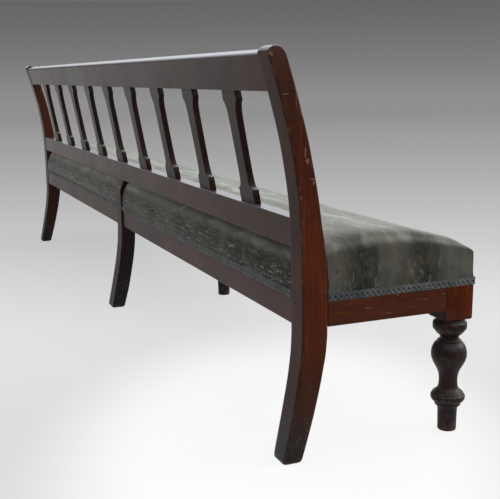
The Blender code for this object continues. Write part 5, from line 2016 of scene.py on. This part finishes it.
@dataclass(frozen=True)
class Studio:
    """A pale floor that runs into a grey ground, a soft world light and four soft lamps.

    The light pool is a painted pool of light, a pale oval on the floor near the camera: how far ahead and
    aside it is, and its half sizes.
    """

    view: Viewpoint
    floor_reach: float = 24.0
    floor_sides: int = 96
    tone_reach: float = 20.0
    glow: float = 0.86
    floor_colour: Colour = (0.58, 0.58, 0.58)
    world_light: float = 0.54
    light_pool: tuple[float, float] = (1.92, 0.10)
    light_pool_halves: tuple[float, float] = (0.80, 0.50)
    lamps: tuple[Lamp, ...] = (
        Lamp("overhead_lamp", (0.6, -0.6, 3.6), (0.0, 0.0, 0.3), (4.5, 2.5), 60.0),
        Lamp("front_lamp", (-2.6, -4.0, 2.4), (-0.6, 0.0, 0.4), (2.6, 2.2), 85.0),
        Lamp("end_lamp", (-5.4, -0.6, 1.9), (-1.4, 0.0, 0.4), (2.6, 2.2), 38.0),
        Lamp("back_lamp", (-1.2, 4.4, 2.6), (-0.4, 0.2, 0.4), (3.0, 2.0), 30.0),
    )

    def build(self) -> None:
        """Makes the floor, the world and the lamps."""
        self.floor()
        self.world()
        for lamp in self.lamps:
            lamp.build()

    @staticmethod
    def grey(level: float) -> Colour:
        """A screen grey from 0 to 255 as a linear colour.

        Args:
            level: the grey.

        Returns:
            The colour.
        """
        share = level / 255
        linear = share / 12.92 if share <= 0.04045 else ((share + 0.055) / 1.055) ** 2.4
        return (linear, linear, linear)

    def greys(self, bench: MixingBench, at: Wire, rows: Sequence[tuple[float, float]]) -> Wire:
        """A ramp of screen greys.

        Args:
            bench: the material's bench.
            at: the place on the ramp, from 0 to 1.
            rows: places and greys.

        Returns:
            The tone.
        """
        stops = [(place, self.grey(level)) for place, level in rows]
        return bench.result("ShaderNodeValToRGB", {"stops": stops}, {0: at})

    def floor(self) -> None:
        """A flat disc whose tone changes with the distance ahead of the camera."""
        angles = np.linspace(0.0, 2 * math.pi, self.floor_sides, endpoint=False)
        rim = columns(np.cos(angles), np.sin(angles), 0.0) * self.floor_reach
        mesh = bpy.data.meshes.new("studio_floor")
        mesh.from_pydata(rim.tolist(), [], [list(range(self.floor_sides))])
        made = bpy.data.objects.new("studio_floor", mesh)
        bpy.context.scene.collection.objects.link(made)

        material, bench = new_material("studio_floor_paper")
        tone = self.floor_tone(bench)
        paper = bench.mix(1.0 - self.glow, (0.0, 0.0, 0.0), tone)
        lit = bench.result("ShaderNodeBsdfDiffuse", {}, {"Color": paper})
        own = bench.result("ShaderNodeEmission", {}, {"Color": tone, "Strength": self.glow})
        seen = bench.result("ShaderNodeAddShader", {}, {0: lit, 1: own})
        plain = bench.result("ShaderNodeBsdfDiffuse", {}, {"Color": (*self.floor_colour, 1.0)})
        both = bench.result("ShaderNodeMixShader", {}, {0: self.seen_rays(bench), 1: plain, 2: seen})
        bench.node("ShaderNodeOutputMaterial", {}, {0: both})
        mesh.materials.append(material)

    def floor_tone(self, bench: MixingBench) -> Wire:
        """The floor's tone with the painted light pool on it, and in reflections only a painted paler patch
        beside the bench and painted dark near the camera.

        Args:
            bench: the floor's bench.

        Returns:
            The tone.
        """
        x, y, _ = bench.parts(bench.place())
        forward_x, forward_y = self.view.level_ahead
        camera_x, camera_y, _ = self.view.place
        away = (x - camera_x) * forward_x + (y - camera_y) * forward_y
        aside = (x - camera_x) * forward_y - (y - camera_y) * forward_x
        rows = (
            (0.0, 221), (1.6, 221), (2.0, 223), (2.5, 229), (2.9, 228), (3.3, 222), (3.8, 213),
            (4.5, 202), (5.5, 191), (7.1, 179), (10.0, 166), (16.8, 151), (20.0, 148),
        )
        shares = [(metres / self.tone_reach, level) for metres, level in rows]
        ramp = self.greys(bench, away / self.tone_reach, shares)
        (pool_away, pool_aside), (half_away, half_aside) = self.light_pool, self.light_pool_halves
        oval = ((away - pool_away) / half_away) ** 2.0 + (abs(aside - pool_aside) / half_aside) ** 2.0
        mirrored = bench.ray("Is Glossy Ray")
        bright = self.greys(bench, x / 10.0, ((0.0, 168), (0.25, 190), (0.55, 255)))
        beside = (aside * -1.0 / away).step(0.34, 0.42) * away.step(1.5, 2.0)
        return bench.layers(
            ramp,
            # painted pool of light
            ((oval**0.5).step(1.36, 0.60), self.grey(255)),
            (beside * mirrored, bright),
            (away.step(1.55, 1.20) * mirrored, self.grey(45)),
        )

    @staticmethod
    def seen_rays(bench: MixingBench) -> Wire:
        """1 for rays that show the ground: the camera's, and those by way of gloss or glass."""
        through = bench.ray("Is Transmission Ray")
        return bench.ray("Is Camera Ray").most(bench.ray("Is Glossy Ray")).most(through)

    def world(self) -> None:
        """A grey ground under a pale sky, mirrored dark behind the camera. The light itself is white."""
        world = bpy.data.worlds.new("studio_world")
        world.use_nodes = True
        bpy.context.scene.world = world
        bench = MixingBench(world.node_tree)
        x, y, rise = bench.parts(bench.result("ShaderNodeTexCoord", output="Generated"))
        rows = (
            (0.0, 150), (0.482, 147), (0.492, 138), (0.508, 123), (0.529, 107), (0.542, 99), (0.546, 190),
            (0.560, 248), (1.0, 252),
        )
        forward_x, forward_y = self.view.level_ahead
        behind = (x * forward_x + y * forward_y).step(0.15, -0.35)
        sky = bench.layers(
            self.greys(bench, rise * 0.5 + 0.5, rows),
            (rise.step(0.09, 0.12) * 0.85, (0.88, 0.92, 1.0)),
            (behind * rise.step(0.75, 0.35) * bench.ray("Is Glossy Ray"), (0.010, 0.010, 0.010)),
        )
        shown = bench.result("ShaderNodeBackground", {}, {"Color": sky, "Strength": 1.0})
        white = {"Color": (1.0, 1.0, 1.0, 1.0), "Strength": self.world_light}
        light = bench.result("ShaderNodeBackground", {}, white)
        both = bench.result("ShaderNodeMixShader", {}, {0: self.seen_rays(bench), 1: light, 2: shown})
        bench.node("ShaderNodeOutputWorld", {}, {0: both})


def main() -> None:
    """Builds the bench's looks in order."""
    logging.basicConfig(level=logging.INFO, format="%(name)s: %(message)s")
    bpy.context.scene.view_settings.view_transform = "Standard"
    view = Viewpoint()
    view.build()
    Studio(view).build()
    datum = Datum()
    BackFrame(datum).build()
    FrontLegs(datum).build()
    SeatFrame().build()
    Cushion(datum).build()
    Gimp().build()
    bpy.context.view_layer.update()


if __name__ == "__main__":
    main()
